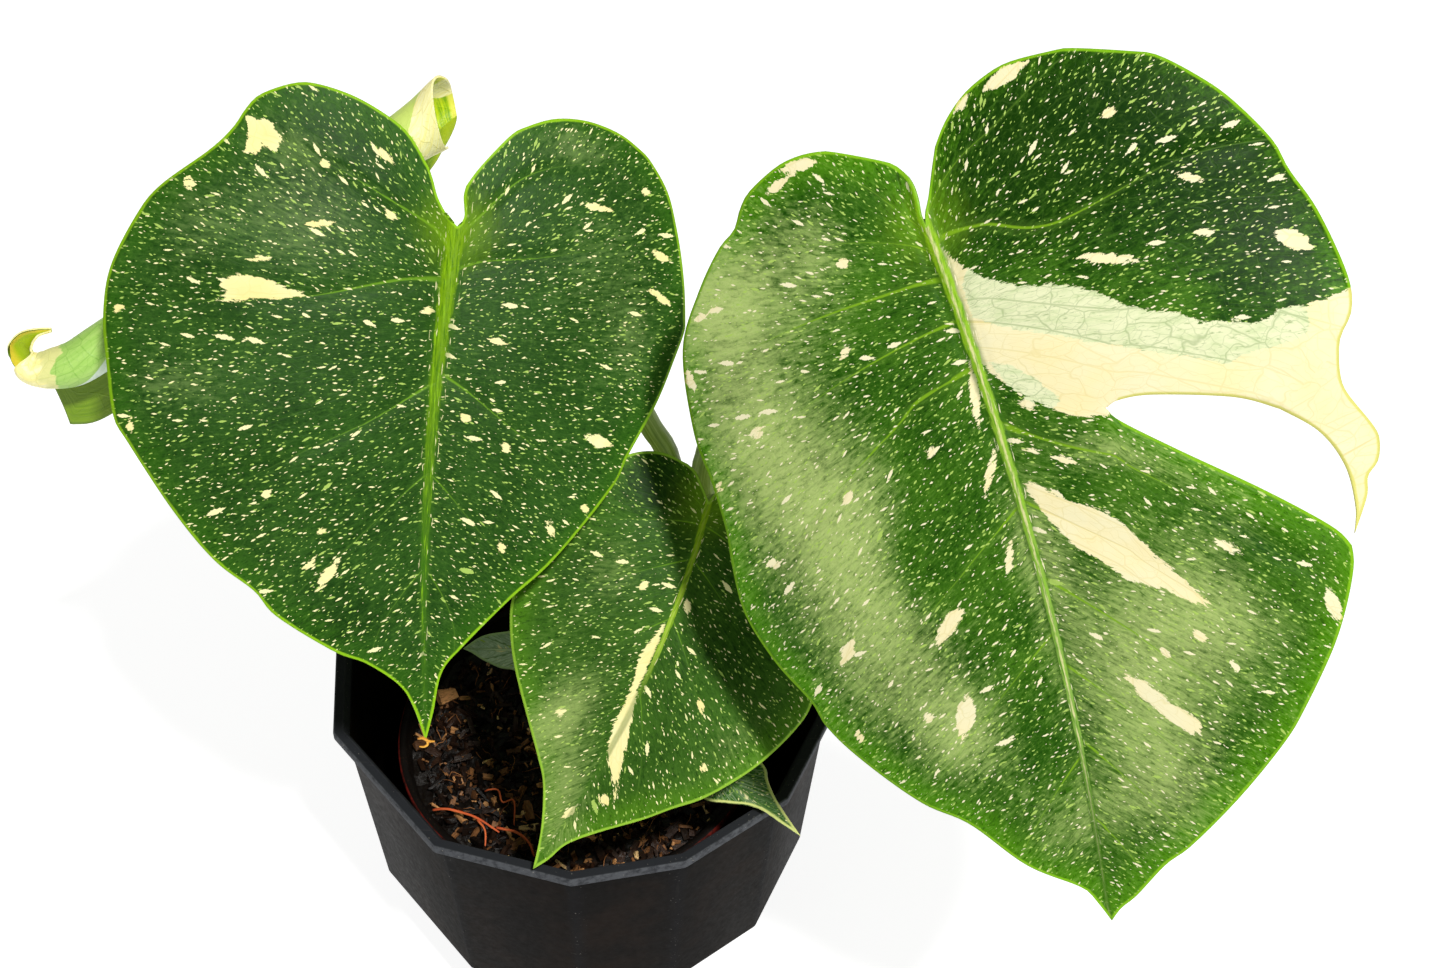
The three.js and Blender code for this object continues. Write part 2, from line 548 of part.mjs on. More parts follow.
// the rolled leaf: at each step along the horn the sheet hangs as a flap at the back, goes up
// and over the axis, down the front and in again below
function hornGeometry(grow = 0) {
  const curve = new THREE.CatmullRomCurve3(HORN.axis.map(vec), false, 'centripetal');
  const front = vec(HORN.towardsFront).normalize();
  const hang = vec(HORN.hang).normalize();
  const { stations, columns } = HORN;
  const rows = stations.length - 1;
  const flapColumns = 4;
  const grid = [];
  const up = new THREE.Vector3();
  for (let i = 0; i <= rows; i += 1) {
    const t = stations[i];
    const place = curve.getUtoTmapping(t);
    const centre = curve.getPointAt(t);
    const axis = curve.getTangentAt(t);
    const radius = along(HORN.radius, place);
    const start = THREE.MathUtils.degToRad(along(HORN.start, place));
    const sweep = THREE.MathUtils.degToRad(along(HORN.sweep, place));
    const flap = along(HORN.flap, place);
    const hemLean = along(HORN.hemLean, place);
    const next = new THREE.Vector3().crossVectors(front, axis).normalize();
    if (i === 0 ? next.dot(hang) > 0 : next.dot(up) < 0) next.negate();
    up.copy(next);
    const towards = new THREE.Vector3().crossVectors(axis, up).normalize();
    if (towards.dot(front) < 0) towards.negate();
    const lean = (angle) => {
      const fold = Math.max(0, 1 - t / 0.05) ** 1.5
        * Math.exp(-(((angle - Math.PI * 0.556) / (Math.PI * 0.2)) ** 2));
      return axis.clone().multiplyScalar(((1 - t) ** 12)
        * (HORN.mouthBack * Math.cos(angle) - HORN.mouthTop * Math.sin(angle)))
        .addScaledVector(up, -HORN.lipDown * fold)
        .addScaledVector(towards, HORN.lipForward * fold);
    };
    const around = (angle, reach) => centre.clone()
      .addScaledVector(towards, Math.cos(angle) * reach)
      .addScaledVector(up, Math.sin(angle) * reach)
      .add(lean(angle));
    const back = around(Math.PI + start, radius);
    const line = [];
    for (let j = 0; j <= columns; j += 1) {
      if (j < flapColumns) {
        const down = 1 - j / flapColumns;
        line.push(back.clone()
          .addScaledVector(hang, flap * down)
          .addScaledVector(axis, hemLean * down * down));
      } else {
        const turned = ((j - flapColumns) / (columns - flapColumns)) * sweep;
        const inward = Math.max(0, turned - start - Math.PI * 1.1) * 0.16;
        line.push(around(Math.PI + start - turned, radius * (1 - inward)));
      }
    }
    grid.push(line);
  }
  const points = grid.flat();
  const width = columns + 1;
  const triangles = [];
  const offsets = [];
  grid.forEach((line, i) => line.forEach((_, j) => {
    const alongAxis = grid[Math.min(i + 1, rows)][j].clone().sub(grid[Math.max(i - 1, 0)][j]);
    const acrossSheet = line[Math.min(j + 1, columns)].clone().sub(line[Math.max(j - 1, 0)]);
    const normal = alongAxis.cross(acrossSheet).normalize();
    offsets.push(normal.multiplyScalar(BLADE / 2 + grow));
    if (i > 0 && j > 0) {
      const d = i * width + j;
      const [a, b, c] = [d - width - 1, d - width, d - 1];
      triangles.push([a, c, b], [b, c, d]);
    }
  }));
  return thicken(points, triangles, offsets, offsets.map((offset) => offset.clone().negate()));
}

// Pots

// one ring of the twelve-sided pot
function potRing(radius, z) {
  return COVER_POT.corners.map((bearing) => {
    const angle = THREE.MathUtils.degToRad(bearing);
    return new THREE.Vector3(Math.cos(angle) * radius, Math.sin(angle) * radius, z);
  });
}

function coverPotGeometry() {
  const pot = COVER_POT;
  const under = pot.height - pot.lipHeight;
  const inside = pot.wall;
  const profile = [
    [pot.footRadius - 3, 0],
    [pot.footRadius, pot.footHeight],
    [pot.creaseRadius, pot.creaseHeight],
    [pot.shoulderRadius, under],
    [pot.rimRadius, under],
    [pot.rimRadius, pot.height],
    [pot.rimRadius - pot.lipWidth, pot.height],
    [pot.rimRadius - pot.lipWidth - 2, under],
    [pot.shoulderRadius - inside, under - 4],
    [pot.creaseRadius - inside, pot.creaseHeight],
    [pot.footRadius - inside, pot.footHeight],
    [pot.footRadius - 4 - inside, pot.floor],
  ];
  const rings = profile.map(([radius, z]) => potRing(radius, z));
  const sides = pot.corners.length;
  const points = [...rings.flat(), new THREE.Vector3(), new THREE.Vector3(0, 0, pot.floor)];
  const triangles = [];
  const underside = points.length - 2;
  const floor = points.length - 1;
  const last = (rings.length - 1) * sides;
  for (let j = 0; j < sides; j += 1) {
    const next = (j + 1) % sides;
    triangles.push([underside, next, j], [floor, last + j, last + next]);
    for (let i = 0; i < rings.length - 1; i += 1) {
      const a = i * sides + j;
      const b = i * sides + next;
      triangles.push([a, b, a + sides], [b, b + sides, a + sides]);
    }
  }
  return closedGeometry(points, triangles);
}

function growPotGeometry() {
  const pot = GROW_POT;
  const foot = COVER_POT.floor + GAP;
  const lipZ = pot.rimZ - pot.lipHeight;
  const radiusAt = (z) => mix(pot.baseRadius, pot.rimRadius - pot.lipWidth, (z - foot) / (pot.rimZ - foot));
  const profile = [
    [pot.drainRadius, foot],
    [pot.baseRadius, foot],
    [radiusAt(lipZ), lipZ],
    [pot.rimRadius, lipZ],
    [pot.rimRadius, pot.rimZ - 0.6],
    [pot.rimRadius - 0.6, pot.rimZ],
    [pot.rimRadius - pot.lipWidth, pot.rimZ],
    [radiusAt(pot.rimZ) - pot.wall, pot.rimZ - 0.8],
    [pot.baseRadius - pot.wall, foot + pot.wall],
    [pot.drainRadius, foot + pot.wall],
    [pot.drainRadius, foot],
  ];
  const geometry = new THREE.LatheGeometry(profile.map((p) => new THREE.Vector2(...p)), 48);
  geometry.rotateX(Math.PI / 2);
  geometry.translate(...pot.centre, 0);
  return geometry;
}

// Soil, stem and roots

// how far the surface of the mix stands above its mean height
function soilRelief(x, y) {
  return SOIL.relief * (0.5 * Math.sin(x * 0.11 + 1) * Math.cos(y * 0.13)
    + 0.3 * Math.sin(x * 0.31 + y * 0.23) + 0.2 * Math.cos(x * 0.47 - y * 0.52));
}

function soilBody() {
  const pot = GROW_POT;
  const foot = COVER_POT.floor + GAP + pot.wall + GAP;
  const rings = 9;
  const sides = 36;
  const radiusAt = (z) => mix(pot.baseRadius, pot.rimRadius - pot.lipWidth,
    (z - COVER_POT.floor - GAP) / (pot.rimZ - COVER_POT.floor - GAP)) - pot.wall - GAP;
  const edgeZ = SOIL.levelZ - 1;
  const points = [new THREE.Vector3(...pot.centre, foot)];
  const addRing = (radius, height) => {
    for (let j = 0; j < sides; j += 1) {
      const turn = (j / sides) * Math.PI * 2;
      const x = pot.centre[0] + Math.cos(turn) * radius;
      const y = pot.centre[1] + Math.sin(turn) * radius;
      points.push(new THREE.Vector3(x, y, height(x, y)));
    }
  };
  addRing(radiusAt(foot) - 0.6, () => foot);
  addRing(radiusAt(edgeZ) - 0.6, () => edgeZ - 1);
  for (let i = rings - 1; i > 0; i -= 1) {
    addRing((radiusAt(edgeZ) - 1.5) * (i / (rings - 1)), (x, y) => SOIL.levelZ + soilRelief(x, y));
  }
  const [centreX, centreY] = pot.centre;
  points.push(new THREE.Vector3(centreX, centreY, SOIL.levelZ + soilRelief(centreX, centreY)));
  const triangles = [];
  const ringCount = rings + 1;
  const topCentre = points.length - 1;
  const lastRing = 1 + (ringCount - 1) * sides;
  for (let j = 0; j < sides; j += 1) {
    const next = (j + 1) % sides;
    triangles.push([0, 1 + next, 1 + j], [topCentre, lastRing + j, lastRing + next]);
    for (let i = 0; i < ringCount - 1; i += 1) {
      const a = 1 + i * sides + j;
      const b = 1 + i * sides + next;
      triangles.push([a, b, a + sides], [b, b + sides, a + sides]);
    }
  }
  return toSolid(closedGeometry(points, triangles));
}

// bark chips: flat flakes, thrown over the surface and sunk into it to about half
function barkChips() {
  const random = seeded(11);
  const reach = GROW_POT.rimRadius - 14;
  const chips = [];
  for (let k = 0; k < SOIL.chips; k += 1) {
    const distance = reach * Math.sqrt((k + 0.5) / SOIL.chips);
    const turn = k * 2.39996 + random() * 0.5;
    const x = GROW_POT.centre[0] + Math.cos(turn) * distance;
    const y = GROW_POT.centre[1] + Math.sin(turn) * distance;
    const chip = new THREE.BoxGeometry(
      mix(...SOIL.chipLength, random()),
      mix(...SOIL.chipWidth, random()),
      mix(...SOIL.chipThickness, random()),
    );
    chip.rotateX((random() - 0.5) * 0.9);
    chip.rotateY((random() - 0.5) * 0.7);
    chip.rotateZ(random() * Math.PI);
    chip.translate(x, y, SOIL.levelZ + soilRelief(x, y) + 0.5);
    chips.push(toSolid(chip));
  }
  return chips;
}

const stemSteps = 12;
const rootSteps = 7;

function stemSolid(grow) {
  const roots = STEM.roots.map((root) => toSolid(
    taperedStem(root.path, root.radius, rootSteps, 6, grow),
  ));
  const trunk = toSolid(taperedStem(STEM.path, STEM.radius, stemSteps, 12, grow));
  return wasm.Manifold.union([trunk, ...roots]);
}

// where a petiole ends: on the midrib, just inside the notch of its blade
function bladeFoot(leaf) {
  const frame = leafFrame(leaf);
  return frame.base.clone()
    .addScaledVector(frame.alongRib, 2.5)
    .addScaledVector(frame.out, bladeHeight(leaf, frame.length, 0, 2.5))
    .toArray();
}

const hornFoot = [-67.5, 81.5, 306];

const petioleSolid = (name, grow) => {
  const { path, radius } = PETIOLES[name];
  const foot = name === 'rolled' ? hornFoot : bladeFoot(LEAVES[name]);
  return toSolid(taperedStem([...path, foot], radius, path.length * 3 + 1, 8, grow));
};

const bladeOf = (name, grow) => (name === 'rolled'
  ? hornGeometry(grow)
  : bladeGeometry(LEAVES[name], MARGINS[name], grow));

// the main body of a cut solid, without the crumbs that a cut leaves
function largest(solid) {
  const bodies = toSolid(toGeometry(solid)).decompose();
  return bodies.reduce((best, piece) => (piece.volume() > best.volume() ? piece : best));
}

function soilSolid() {
  const mixWithChips = wasm.Manifold.union([soilBody(), ...barkChips()]);
  const holes = wasm.Manifold.union([
    stemSolid(GAP),
    petioleSolid('youngBack', GAP),
    petioleSolid('youngFront', GAP),
    rootletSolid(GAP),
  ]);
  return largest(mixWithChips.subtract(holes));
}

function rootletSolid(grow) {
  return wasm.Manifold.union(ROOTLETS.map(({ path, radius }) => toSolid(
    taperedStem(path, path.map(() => radius), path.length * 3, 5, grow),
  )));
}

// The plant in its pots

const plant = new THREE.Group();

function add(name, geometry, paint) {
  const material = new THREE.MeshStandardMaterial({ metalness: 0, ...paint });
  const mesh = new THREE.Mesh(geometry, material);
  mesh.name = name;
  plant.add(mesh);
}

add('cover_pot', coverPotGeometry(), PAINT.coverPot);
add('grow_pot', growPotGeometry(), PAINT.growPot);
add('soil', toGeometry(soilSolid()), PAINT.soil);
add('stem_with_roots', toGeometry(stemSolid(0)), PAINT.stem);
const leafPaint = {
  left: PAINT.leafDark,
  right: PAINT.leafFresh,
  middle: PAINT.leafMiddle,
  rolled: PAINT.leafRolled,
  youngBack: PAINT.leafSilver,
  youngFront: PAINT.leafDark,
};
const plainName = (name) => name.replace(/[A-Z]/g, (letter) => `_${letter.toLowerCase()}`);
for (const name of Object.keys(PETIOLES)) {
  const free = petioleSolid(name, 0)
    .subtract(stemSolid(GAP))
    .subtract(toSolid(bladeOf(name, GAP)));
  add(`petiole_${plainName(name)}`, toGeometry(largest(free)), PAINT.petiole);
  add(`leaf_${plainName(name)}`, bladeOf(name, 0), leafPaint[name]);
}
add('orange_rootlets', toGeometry(rootletSolid(0)), PAINT.rootlet);

export default plant;
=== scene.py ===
# %% [markdown]
# # A potted creme brulee monstera
# This lesson dresses the solids of a young climbing aroid in its nursery pot. The plant has one dark speckled
# leaf, one fresh leaf with a cream sector, one smaller leaf in front and a newest leaf that is still rolled up.
# Every measure is in millimetres until a mesh is finished, and a finished mesh is in metres.

# %% Load the packed model
import math
import random

import bmesh
import bpy
import numpy as np
from mathutils import Matrix, Vector, noise


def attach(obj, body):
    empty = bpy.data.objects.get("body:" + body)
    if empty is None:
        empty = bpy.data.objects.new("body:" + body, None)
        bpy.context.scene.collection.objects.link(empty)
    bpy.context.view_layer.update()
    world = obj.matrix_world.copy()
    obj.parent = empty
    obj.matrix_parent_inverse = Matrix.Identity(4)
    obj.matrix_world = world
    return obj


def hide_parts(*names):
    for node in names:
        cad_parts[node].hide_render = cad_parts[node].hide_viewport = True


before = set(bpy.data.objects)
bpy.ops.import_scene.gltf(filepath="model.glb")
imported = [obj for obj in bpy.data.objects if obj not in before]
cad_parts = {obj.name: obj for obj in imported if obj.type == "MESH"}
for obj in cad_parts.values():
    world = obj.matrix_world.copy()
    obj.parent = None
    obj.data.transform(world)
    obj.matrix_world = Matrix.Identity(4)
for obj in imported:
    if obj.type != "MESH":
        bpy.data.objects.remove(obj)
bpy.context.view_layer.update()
MM = 0.001
print("solids:", ", ".join(sorted(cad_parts)))

# %% [markdown]
# ## The view
# The plant was photographed from above and in front, with the camera tipped down by 45 degrees. A camera can be
# turned by angles, but here its three axes are written out, because a small roll is easier to add that way.

# %% Camera
LOOK_DOWN = math.radians(45.15)
ROLL = math.radians(2)
LENS = 44.84
STANDS_AT = (0.0505, -0.4443, 0.6756)
backward = Vector((0, -math.cos(LOOK_DOWN), math.sin(LOOK_DOWN)))
level_right = Vector((1, 0, 0))
level_up = backward.cross(level_right)
right = level_right * math.cos(ROLL) + level_up * math.sin(ROLL)
up = level_up * math.cos(ROLL) - level_right * math.sin(ROLL)

camera = bpy.data.objects.new("camera", bpy.data.cameras.new("camera"))
camera.data.sensor_width = 36
camera.data.lens = LENS
rows = [[way[axis] for way in (right, up, backward)] + [STANDS_AT[axis]] for axis in range(3)]
camera.matrix_world = Matrix(rows + [[0, 0, 0, 1]])
bpy.context.scene.collection.objects.link(camera)
bpy.context.scene.camera = camera
print("camera stands at", [round(value, 3) for value in camera.matrix_world.translation])

# %% [markdown]
# ## Floor and light
# A plain pale floor and a pale sky keep the background quiet. One strong lamp hangs high in front and to the right.
# It is small, so the right leaf throws a shadow with a clear edge on the middle leaf, while the left leaf and the
# potting mix stay lit. A wide, weak lamp on the left and the sky fill the shade.

# %% Colours as they look
def paint(red, green, blue):
    """Turns a colour as seen on a screen, 0 to 255, into the light values that a shader works with."""
    def light(value):
        value /= 255
        return value / 12.92 if value <= 0.04045 else ((value + 0.055) / 1.055) ** 2.4
    return (light(red), light(green), light(blue), 1.0)


print("a leaf green in light values:", [round(value, 3) for value in paint(62, 100, 40)])

# %% Floor
FLOOR_REACH = 3.0
floor_mesh = bmesh.new()
bmesh.ops.create_grid(floor_mesh, x_segments=2, y_segments=2, size=FLOOR_REACH)
floor_data = bpy.data.meshes.new("floor")
floor_mesh.to_mesh(floor_data)
floor_mesh.free()
floor = bpy.data.objects.new("floor", floor_data)
bpy.context.scene.collection.objects.link(floor)
floor_paint = bpy.data.materials.new("pale_floor")
floor_paint.use_nodes = True
for socket, value in (("Base Color", (0.4, 0.4, 0.4, 1)), ("Emission Color", (1, 1, 1, 1)),
                      ("Emission Strength", 0.9), ("Roughness", 0.9)):
    floor_paint.node_tree.nodes["Principled BSDF"].inputs[socket].default_value = value
floor_data.materials.append(floor_paint)
print("the floor reaches", FLOOR_REACH, "m each way")

# %% Lamps and sky
def hang_lamp(name, place, aim, size, power, colour=(1, 1, 1)):
    """Hangs one square lamp that faces the point aim."""
    lamp = bpy.data.lights.new(name, "AREA")
    lamp.size = size
    lamp.energy = power
    lamp.color = colour
    holder = bpy.data.objects.new(name, lamp)
    holder.location = place
    holder.rotation_euler = (Vector(aim) - Vector(place)).to_track_quat("-Z", "Y").to_euler()
    bpy.context.scene.collection.objects.link(holder)


hang_lamp("lamp_above", place=(0.6, -0.9, 2.2), aim=(0.03, -0.05, 0.2), size=0.18, power=54, colour=(1, 0.985, 0.95))
hang_lamp("lamp_side", place=(-1.1, -1.0, 1.3), aim=(0.03, 0, 0.2), size=0.9, power=1.2)
sky = bpy.data.worlds.new("pale_sky")
sky.use_nodes = True
sky.node_tree.nodes["Background"].inputs["Color"].default_value = (1.0, 1.0, 0.95, 1)
sky.node_tree.nodes["Background"].inputs["Strength"].default_value = 0.16
bpy.context.scene.world = sky
bpy.context.scene.view_settings.view_transform = "Standard"

# %% [markdown]
# ## A workbench for finishes
# A procedural finish is a small machine of nodes. Written one link at a time it is long, so this bench gives each
# common step a plain name: read a field of the mesh, do a sum, blend two colours, make a soft threshold.

# %% The bench
class Finish:
    """One material with its nodes, and short names for the steps that build it."""

    def __init__(self, name, roughness, specular=0.4):
        self.material = bpy.data.materials.new(name)
        self.material.use_nodes = True
        self.tree = self.material.node_tree
        self.shader = self.tree.nodes["Principled BSDF"]
        self.shader.inputs["Roughness"].default_value = roughness
        self.shader.inputs["Specular IOR Level"].default_value = specular

    def feed(self, socket, value):
        if isinstance(value, bpy.types.NodeSocket):
            self.tree.links.new(value, socket)
        else:
            socket.default_value = value

    def put(self, kind, sockets, **settings):
        node = self.tree.nodes.new("ShaderNode" + kind)
        for key, value in settings.items():
            setattr(node, key, value)
        for key, value in sockets.items():
            self.feed(node.inputs[key], value)
        return node

    def sum(self, operation, first, second=0.0):
        return self.put("Math", {0: first, 1: second}, operation=operation).outputs[0]

    def plus(self, first, second):
        return self.sum("ADD", first, second)

    def minus(self, first, second):
        return self.sum("SUBTRACT", first, second)

    def times(self, first, second):
        return self.sum("MULTIPLY", first, second)

    def most(self, first, second):
        return self.sum("MAXIMUM", first, second)

    def sway(self, value, reach):
        """Moves a value that runs from 0 to 1 to both sides of nought."""
        return self.times(self.minus(value, 0.5), reach)

    def soft(self, value, low, high, start=0.0, end=1.0):
        """A soft threshold: start below low, end above high."""
        sockets = {"Value": value, "From Min": low, "From Max": high, "To Min": start, "To Max": end}
        return self.put("MapRange", sockets, interpolation_type="SMOOTHSTEP").outputs[0]

    def blend(self, share, under, over):
        return self.put("Mix", {0: share, 6: under, 7: over}, data_type="RGBA").outputs[2]

    def field(self, name):
        """The three values that a mesh carries under this name."""
        carried = self.put("Attribute", {}, attribute_name=name)
        parts = self.put("SeparateXYZ", {0: carried.outputs["Vector"]}).outputs
        return parts[0], parts[1], parts[2]

    def vector(self, x=0.0, y=0.0, z=0.0):
        return self.put("CombineXYZ", {0: x, 1: y, 2: z}).outputs[0]

    def in_millimetres(self):
        """The place on the piece, in millimetres."""
        place = self.put("TexCoord", {}).outputs["Object"]
        return self.put("VectorMath", {0: place, 3: 1 / MM}, operation="SCALE").outputs[0]

    def stretch(self, place, scale, turn=(0, 0, 0)):
        return self.put("Mapping", {"Vector": place, "Rotation": turn, "Scale": scale}).outputs[0]

    def distance(self, x, y):
        return self.sum("SQRT", self.plus(self.times(x, x), self.times(y, y)))

    def noise(self, place, scale, detail=3.0, roughness=0.55, distortion=0.0):
        sockets = {"Vector": place, "Scale": scale, "Detail": detail, "Roughness": roughness,
                   "Distortion": distortion}
        return self.put("TexNoise", sockets).outputs["Fac"]

    def net(self, place, scale, width):
        """Thin lines between cells, as in the finest veins of a leaf."""
        cells = self.put("TexVoronoi", {"Vector": place, "Scale": scale}, feature="DISTANCE_TO_EDGE",
                         voronoi_dimensions="2D")
        return self.soft(cells.outputs["Distance"], 0.0, width, 1.0, 0.0)

    def bump(self, height, strength, distance):
        node = self.put("Bump", {"Height": height, "Strength": strength, "Distance": distance})
        self.tree.links.new(node.outputs[0], self.shader.inputs["Normal"])

    def colour(self, value):
        self.feed(self.shader.inputs["Base Color"], value)

    def roughen(self, value):
        self.feed(self.shader.inputs["Roughness"], value)


print("bench ready:", [name for name in vars(Finish) if not name.startswith("__")])

# %% [markdown]
# ## Placing a piece
# Each piece ends the same way: its mesh goes from millimetres to metres, it gets its finishes, it is hung on the
# root body, and the solids that it stands for are hidden.

# %% Finish and place
def place_piece(name, bm, finishes, stands_for=(), smooth=True):
    """Turns a bmesh in millimetres into a piece of the scene."""
    bmesh.ops.scale(bm, vec=(MM, MM, MM), verts=bm.verts)
    mesh = bpy.data.meshes.new(name)
    bm.to_mesh(mesh)
    bm.free()
    for finish in finishes:
        mesh.materials.append(finish.material)
    mesh.polygons.foreach_set("use_smooth", [smooth] * len(mesh.polygons))
    piece = bpy.data.objects.new(name, mesh)
    bpy.context.scene.collection.objects.link(piece)
    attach(piece, "root")
    if stands_for:
        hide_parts(*stands_for)
    print(name, "has", len(mesh.polygons), "faces")
    return piece

# %% [markdown]
# ## The plan of a blade
# A heart-shaped blade is drawn flat, with u to the right of the midrib and v towards the tip, and is then laid on
# its own bowed surface. The solids use the same plans, so the dressed leaf sits where its solid sits. These are
# their measures: where the blade starts and ends, which way it faces and how it bows, droops and ripples.

# %% How each blade lies
LEAVES = {
    "left": {
        "base": (-38, 25, 318), "tip": (-45, -86, 190), "faces": (0.32, -0.72, 0.61),
        "bow": -5, "tipU": 1.5, "rise": 0.14, "drop": (0.0027, 0.0032), "arch": 0.0008, "archFrom": 70,
        "ripple": 2.5, "wave": 62, "phase": (0.6, 2.4), "half": 100,
        "rib": 2.6, "ribFrom": 5, "rows": 24, "columns": 7,
    },
    "right": {
        "base": (107, -15, 355), "tip": (173, -148, 198), "faces": (-0.27, -0.79, 0.55),
        "bow": 7, "tipU": -1.8, "rise": 0.14, "drop": (0.0028, 0.0023), "arch": 0.0006, "archFrom": 90,
        "ripple": 3, "wave": 75, "phase": (1, 2.8), "half": 110,
        "rib": 3, "ribFrom": 4, "rows": 28, "columns": 8,
        "slitVein": 52, "slitRows": 16, "slitColumns": 3, "tailColumns": 2, "tailRows": 8,
    },
    "middle": {
        "base": (46, -6, 226), "tip": (-10, -101, 140), "faces": (0.02, -0.68, 0.73),
        "bow": 7, "tipU": 0.1, "rise": 0.14, "drop": (0.0032, 0.0032), "arch": 0.0009, "archFrom": 55,
        "ripple": 1.5, "wave": 45, "phase": (0.4, 2), "half": 55,
        "rib": 1.8, "ribFrom": 3, "rows": 20, "columns": 6,
    },
    "youngBack": {
        "base": (-5, 18, 112), "tip": (-53, 23, 105), "faces": (0, -0.5, 0.86),
        "bow": 0, "tipU": -0.5, "rise": 0.2, "drop": (0.012, 0.012), "arch": 0.003, "archFrom": 25,
        "ripple": 0.5, "wave": 25, "phase": (0.4, 2), "half": 18,
        "rib": 0.8, "ribFrom": 1.4, "rows": 9, "columns": 4,
    },
    "youngFront": {
        "base": (41, -40, 128), "tip": (81, -82, 138), "faces": (0.1, -0.5, 0.86),
        "bow": 0, "tipU": 0.5, "rise": 0.2, "drop": (0.01, 0.01), "arch": 0.003, "archFrom": 25,
        "ripple": 0.5, "wave": 30, "phase": (0.4, 2), "half": 20,
        "rib": 0.8, "ribFrom": 1.4, "rows": 9, "columns": 4,
    },
}
print("blades:", ", ".join(LEAVES))

# %% [markdown]
# The margin of a blade runs from the notch at the petiole round each lobe to the tip. The right leaf is old enough
# to have its first split, which leaves a strip of blade hanging on as a narrow tail.

